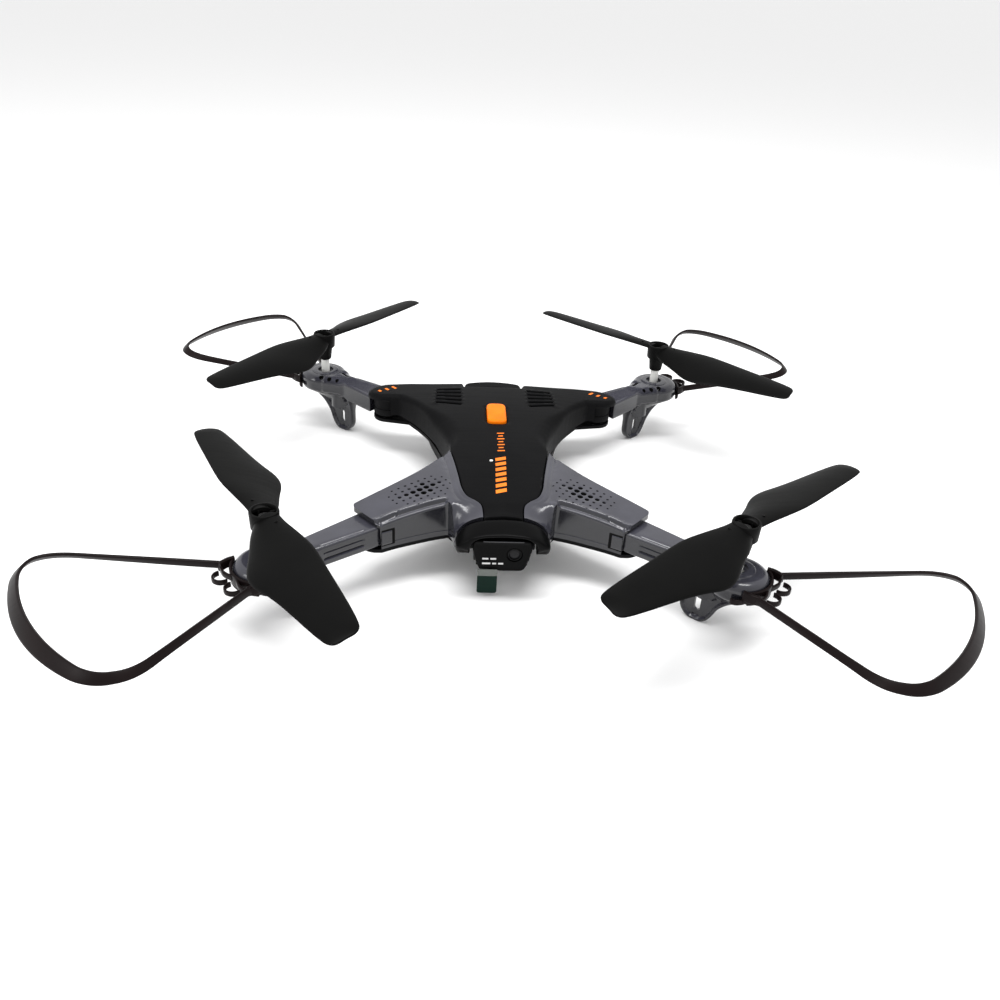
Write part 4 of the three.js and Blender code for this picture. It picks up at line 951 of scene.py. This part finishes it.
BLADE_HEIGHT, BLADE_SPAN = 44.4, 73
BLADE_LEAD = [(2, 4.4), (8, 4.9), (16, 6.3), (24, 7.5), (31, 7.7), (45, 7.1), (60, 6.4), (67.5, 5.7)]
BLADE_LEAD += [(70.2, 4.9), (71.6, 3.3), (72.1, 1.2)]
BLADE_TRAIL = [(2, -4.6), (8, -7.9), (16, -11), (23, -14), (28, -15.1), (33, -14.6), (39, -12.6), (46, -10.8)]
BLADE_TRAIL += [(54, -9.2), (61, -7.9), (68, -6.4), (71.4, -5.2), (72.7, -3.4), (72.5, -1.2)]
HUB = [(2.3, 40.2), (4.4, 40.2), (4.9, 40.8), (5.15, 46.5), (4.95, 47.1), (4.4, 47.2), (4.05, 46.9), (4, 43.9)]
HUB += [(3.5, 43.7), (2.3, 43.7)]


def blade():
    """A cambered, twisted blade between its two edge curves."""
    lead, trail = spline(BLADE_LEAD, 0.5), spline(BLADE_TRAIL, 0.5)
    angle = all_round(28)
    chord = (1 - np.cos(angle)) / 2
    rings = []
    for s in 1 - np.linspace(1, 0, 44) ** 1.6:
        a, b = ([np.interp(s, np.linspace(0, 1, len(line)), column) for column in line.T] for line in (lead, trail))
        out = (a[0] + b[0]) / 2 / BLADE_SPAN
        thick = (0.75 - 0.4 * out) * min(1, 0.2 + (1 - s) * 14)
        camber = 1.9 * (1 - (2 * chord - 1) ** 2) * (1 - 0.55 * out) * min(1, 0.1 + (1 - s) * 9)
        h = camber + thick * squared(np.sin(angle), 0.5)
        x, y = (b[k] + (a[k] - b[k]) * chord for k in (0, 1))
        pitch = radians(19 - 10 * out)
        rings.append(np.column_stack([x, y * cos(pitch) - h * sin(pitch), y * sin(pitch) + h * cos(pitch)]))
    return loft(rings).at(shift(0, 0, BLADE_HEIGHT))


def propeller():
    sleeve = turned([(2.35, 34.2), (2.75, 34.2), (3, 34.6), (3.7, 40.6), (2.35, 40.6)], wrap=True)
    post = turned([(0.5, 43.5), (2, 43.5), (2, 44.6), (1.8, 44.8), (0.5, 44.8)], 24)
    parts = [turned(HUB, 44, wrap=True), sleeve, blade(), blade().at(turn(180)), post]
    rib = plate(rounded_box(3.1, 0, 1, 0.35, 0.2, 0.5), 43.6, 46.2, 0.1)
    parts += [rib.at(turn(30 + 120 * k)) for k in range(3)]
    mark = plate(rounded_box(8.4, 0, 0.4, 1.9, 0.3, 0.6), -0.3, 0.1, 0.08)
    parts += [mark.at(turn(half_turn) @ shift(0, 0, 46.55) @ turn(18, "X")) for half_turn in (0, 180)]
    return joined(parts)


# -------- guards

FRONT_GUARD, REAR_GUARD = (78.3, 32.6, 25.3), (73.8, 31.3, 23.9)  # radius, then middle height of ribbon and legs
GUARD_FIRST, GUARD_LAST, GUARD_CORNER = 5, 69, 11  # degrees round the propeller axis
LEG_REACH, LEG_SPREAD = 12.6, 9.6


def guard_route(angle, radius):
    def on_arc(degrees, reach=radius):
        return round_points(0, 0, reach, radians(degrees))[0]

    def rounded(end, inward):
        corner = bend(on_arc(end, radius - 17), on_arc(end), on_arc(end + inward * GUARD_CORNER), 14)
        return corner[::inward]

    out = np.array([cos(angle), sin(angle)])
    side = np.array([-out[1], out[0]]) * LEG_SPREAD
    line = [
        [out * LEG_REACH - side],
        rounded(GUARD_FIRST, 1),
        arc(0, 0, radius, GUARD_FIRST + GUARD_CORNER, GUARD_LAST - GUARD_CORNER, 2),
        rounded(GUARD_LAST, -1),
        [out * LEG_REACH + side],
    ]
    return even(np.vstack(line), 1.3)


def strip(line, middle, height, thickness, lean):
    """A band with rounded edges along a line, its upper edge leaning inward by some degrees."""
    middle, height, lean = (value * np.ones(len(line)) for value in (middle, height, lean))
    out = rightward(np.gradient(line, axis=0))
    rise = squared(np.sin(all_round(16)), 0.35) / 2
    across = squared(np.cos(all_round(16)), 0.6) * thickness / 2 * (1 + 0.12 * np.abs(2 * rise) ** 6)
    rings = []
    for k, p in enumerate(line):
        up, c, s = rise * height[k], cos(radians(lean[k])), sin(radians(lean[k]))
        rings.append(np.column_stack([p + out[k] * (across * c - up * s)[:, None], middle[k] + up * c + across * s]))
    return loft(rings)


def guard(angle, radius, ribbon_middle, leg_middle):
    line = guard_route(angle, radius)
    share = np.linspace(0, 1, len(line))
    from_end = np.minimum(share, 1 - share)
    middle = leg_middle + (ribbon_middle - leg_middle) * np.minimum(1, from_end / 0.3)
    height = 2.9 + 2.6 * smooth(from_end, 0.18, 0.5)
    ribbon = strip(line, middle, height, 1.25, 9 + 36 * smooth(from_end, 0, 0.34))
    bands = [(arc(0.6, 0, 12.1, -53, 53, 1), 23.9, 4.6, 1.1), (arc(0.6, 0, 11.2, -46, 46, 1), 21.2, 1, 2.6)]
    for way in (1, -1):
        hook = spline([(8, way * 9.4), (6.6, way * 11.2), (5, way * 12), (4.2, way * 11.7)], 0.4)
        brace = spline([(7.6, way * 9.6), (10.2, way * 9.9), (13.6, way * 9.2)], 0.5)
        cheek = spline([(13.2, way * 9), (13.9, way * 5.4), (12.9, way * 1.5)], 0.5)
        bands.append((arc(15.6, way * 4.1, 3, way * -100, way * 100, 0.6), 24.2, 2, 0.7))
        bands += [(hook, 22.2, 2.2, 0.8), (brace, leg_middle - 0.3, 3.6, 1.6), (cheek, 24.2, 2.2, 0.9)]
    holder = joined([strip(*band, 0) for band in bands])
    return ribbon + holder.at(turn(degrees(angle)))


# -------- corners


def build_corners():
    legs, props = leg(), propeller()
    upright = Matrix(((1, 0, 0, 0), (0, 0, 1, 0), (0, 1, 0, 0), (0, 0, 0, 1)))
    shaft = turned([(0.75, 21), (1.9, 21), (2, 21.2), (2, 37.8), (1.9, 38), (0.75, 38)], 32, wrap=True)
    arms, guards = {}, {}
    for hinge, sizes in ((FRONT_HINGE, FRONT_GUARD), (REAR_HINGE, REAR_GUARD)):
        arms[hinge] = arm(arm_length(hinge), hinge is REAR_HINGE)
        guards[hinge] = guard(arm_angle(hinge), *sizes)
    for name, (sx, sy, hinge, blade_angle) in CORNERS.items():
        place = shift(sx * MOTOR[0], sy * MOTOR[1]) @ Matrix.Diagonal((sx, sy, 1, 1))
        along = place @ turn(degrees(arm_angle(hinge)))
        swinging, spinning = name + "_arm", name + "_rotor"
        refined(name + "_arm", arms[hinge].at(along), swinging, [GREY, PAINTED_SHADE], "grey_shell")
        if hinge is REAR_HINGE:
            barrel = turned(KNUCKLE, 48).at(along @ shift(-arm_length(hinge)))
            piece(name + "_knuckle", barrel, swinging, [BLACK], "black_shell")
        refined(name + "_leg", legs.at(along @ upright), swinging, [GREY], "grey_shell")
        refined(name + "_guard", guards[hinge].at(place), swinging, [GUARD], "guard_brown", name + "_prop_guard")
        refined(name + "_shaft", shaft.at(along), spinning, [WHITE], "white_plastic", name + "_prop_shaft")
        refined(name + "_propeller", props.at(place @ turn(blade_angle)), spinning, [PROP], "prop_black", sharp=50)


# -------- carried-over nodes

CARRIED = {
    HOOD: ("camera_housing", "battery_latch"),
    WHITE: ("status_light", "drive_gear"),
    BOARD: ("flight_controller_board", "power_switch"),
    STEEL: ("camera_pivot_pin", "case_screw", "hinge_pin", "motor"),
    BRASS: ("pinion",),
    BLACKED: ("prop_screw",),
}


def finish_carried():
    for name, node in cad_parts.items():
        if node.hide_render:
            continue
        finish = next(made for made, keys in CARRIED.items() if any(key in name for key in keys))
        node.data.materials.clear()
        node.data.materials.append(finish)
        soften = node.modifiers.new("soft_edges", "BEVEL")
        soften.width = 0.12 * MM
        soften.segments = 2
        soften.limit_method = "ANGLE"
        soften.angle_limit = radians(50)
        for face in node.data.polygons:
            face.use_smooth = True
        node.data.set_sharp_from_angle(angle=radians(40))


# -------- floor, light, camera


def softbox(name, location, target, size, power):
    light = bpy.data.lights.new(name, "AREA")
    light.shape = "RECTANGLE"
    light.size, light.size_y = size
    light.energy = power
    made = bpy.data.objects.new(name, light)
    made.location = location
    made.rotation_euler = (Vector(target) - Vector(location)).to_track_quat("-Z", "Y").to_euler()
    bpy.context.scene.collection.objects.link(made)


def build_stage():
    """A pale floor under an even white sky and two soft lights, in metres and watts."""
    bpy.ops.mesh.primitive_plane_add(size=24, location=(0, 0, 0))
    floor = bpy.context.object
    floor.name = "floor"
    ground = bpy.data.materials.new("pale_floor")
    ground.use_nodes = True
    pale = {"Base Color": (0.93, 0.93, 0.93, 1), "Roughness": 0.9, "Specular IOR Level": 0.1}
    fill(ground.node_tree.nodes["Principled BSDF"], pale)
    floor.data.materials.append(ground)

    world = bpy.data.worlds.new("studio")
    bpy.context.scene.world = world
    world.use_nodes = True
    fill(world.node_tree.nodes["Background"], {"Color": (1, 1, 1, 1), "Strength": 0.93})
    softbox("overhead", (0, -0.12, 0.85), (0, -0.1, 0), (0.9, 0.2), 8)
    softbox("side", (-0.75, -0.35, 0.5), (0, 0, 0.02), (0.3, 0.3), 1.5)
    bpy.context.scene.view_settings.view_transform = "Standard"


def build_camera():
    """The photograph's view, solved from the object's symmetry: angles in radians, place in metres."""
    yaw, pitch, roll = (degrees(angle) for angle in (0.069, 0.527, -0.06))
    lens = bpy.data.cameras.new("camera")
    lens.sensor_width = 36
    lens.lens = 34.246
    lens.clip_start, lens.clip_end = 0.01, 20
    view = bpy.data.objects.new("camera", lens)
    view.matrix_world = shift(-0.02238, -0.35779, 0.21330) @ turn(-yaw) @ turn(90 - pitch, "X") @ turn(-roll)
    bpy.context.scene.collection.objects.link(view)
    bpy.context.scene.camera = view


build_camera()
build_body()
build_nose()
build_top_details()
build_corners()
finish_carried()
build_stage()
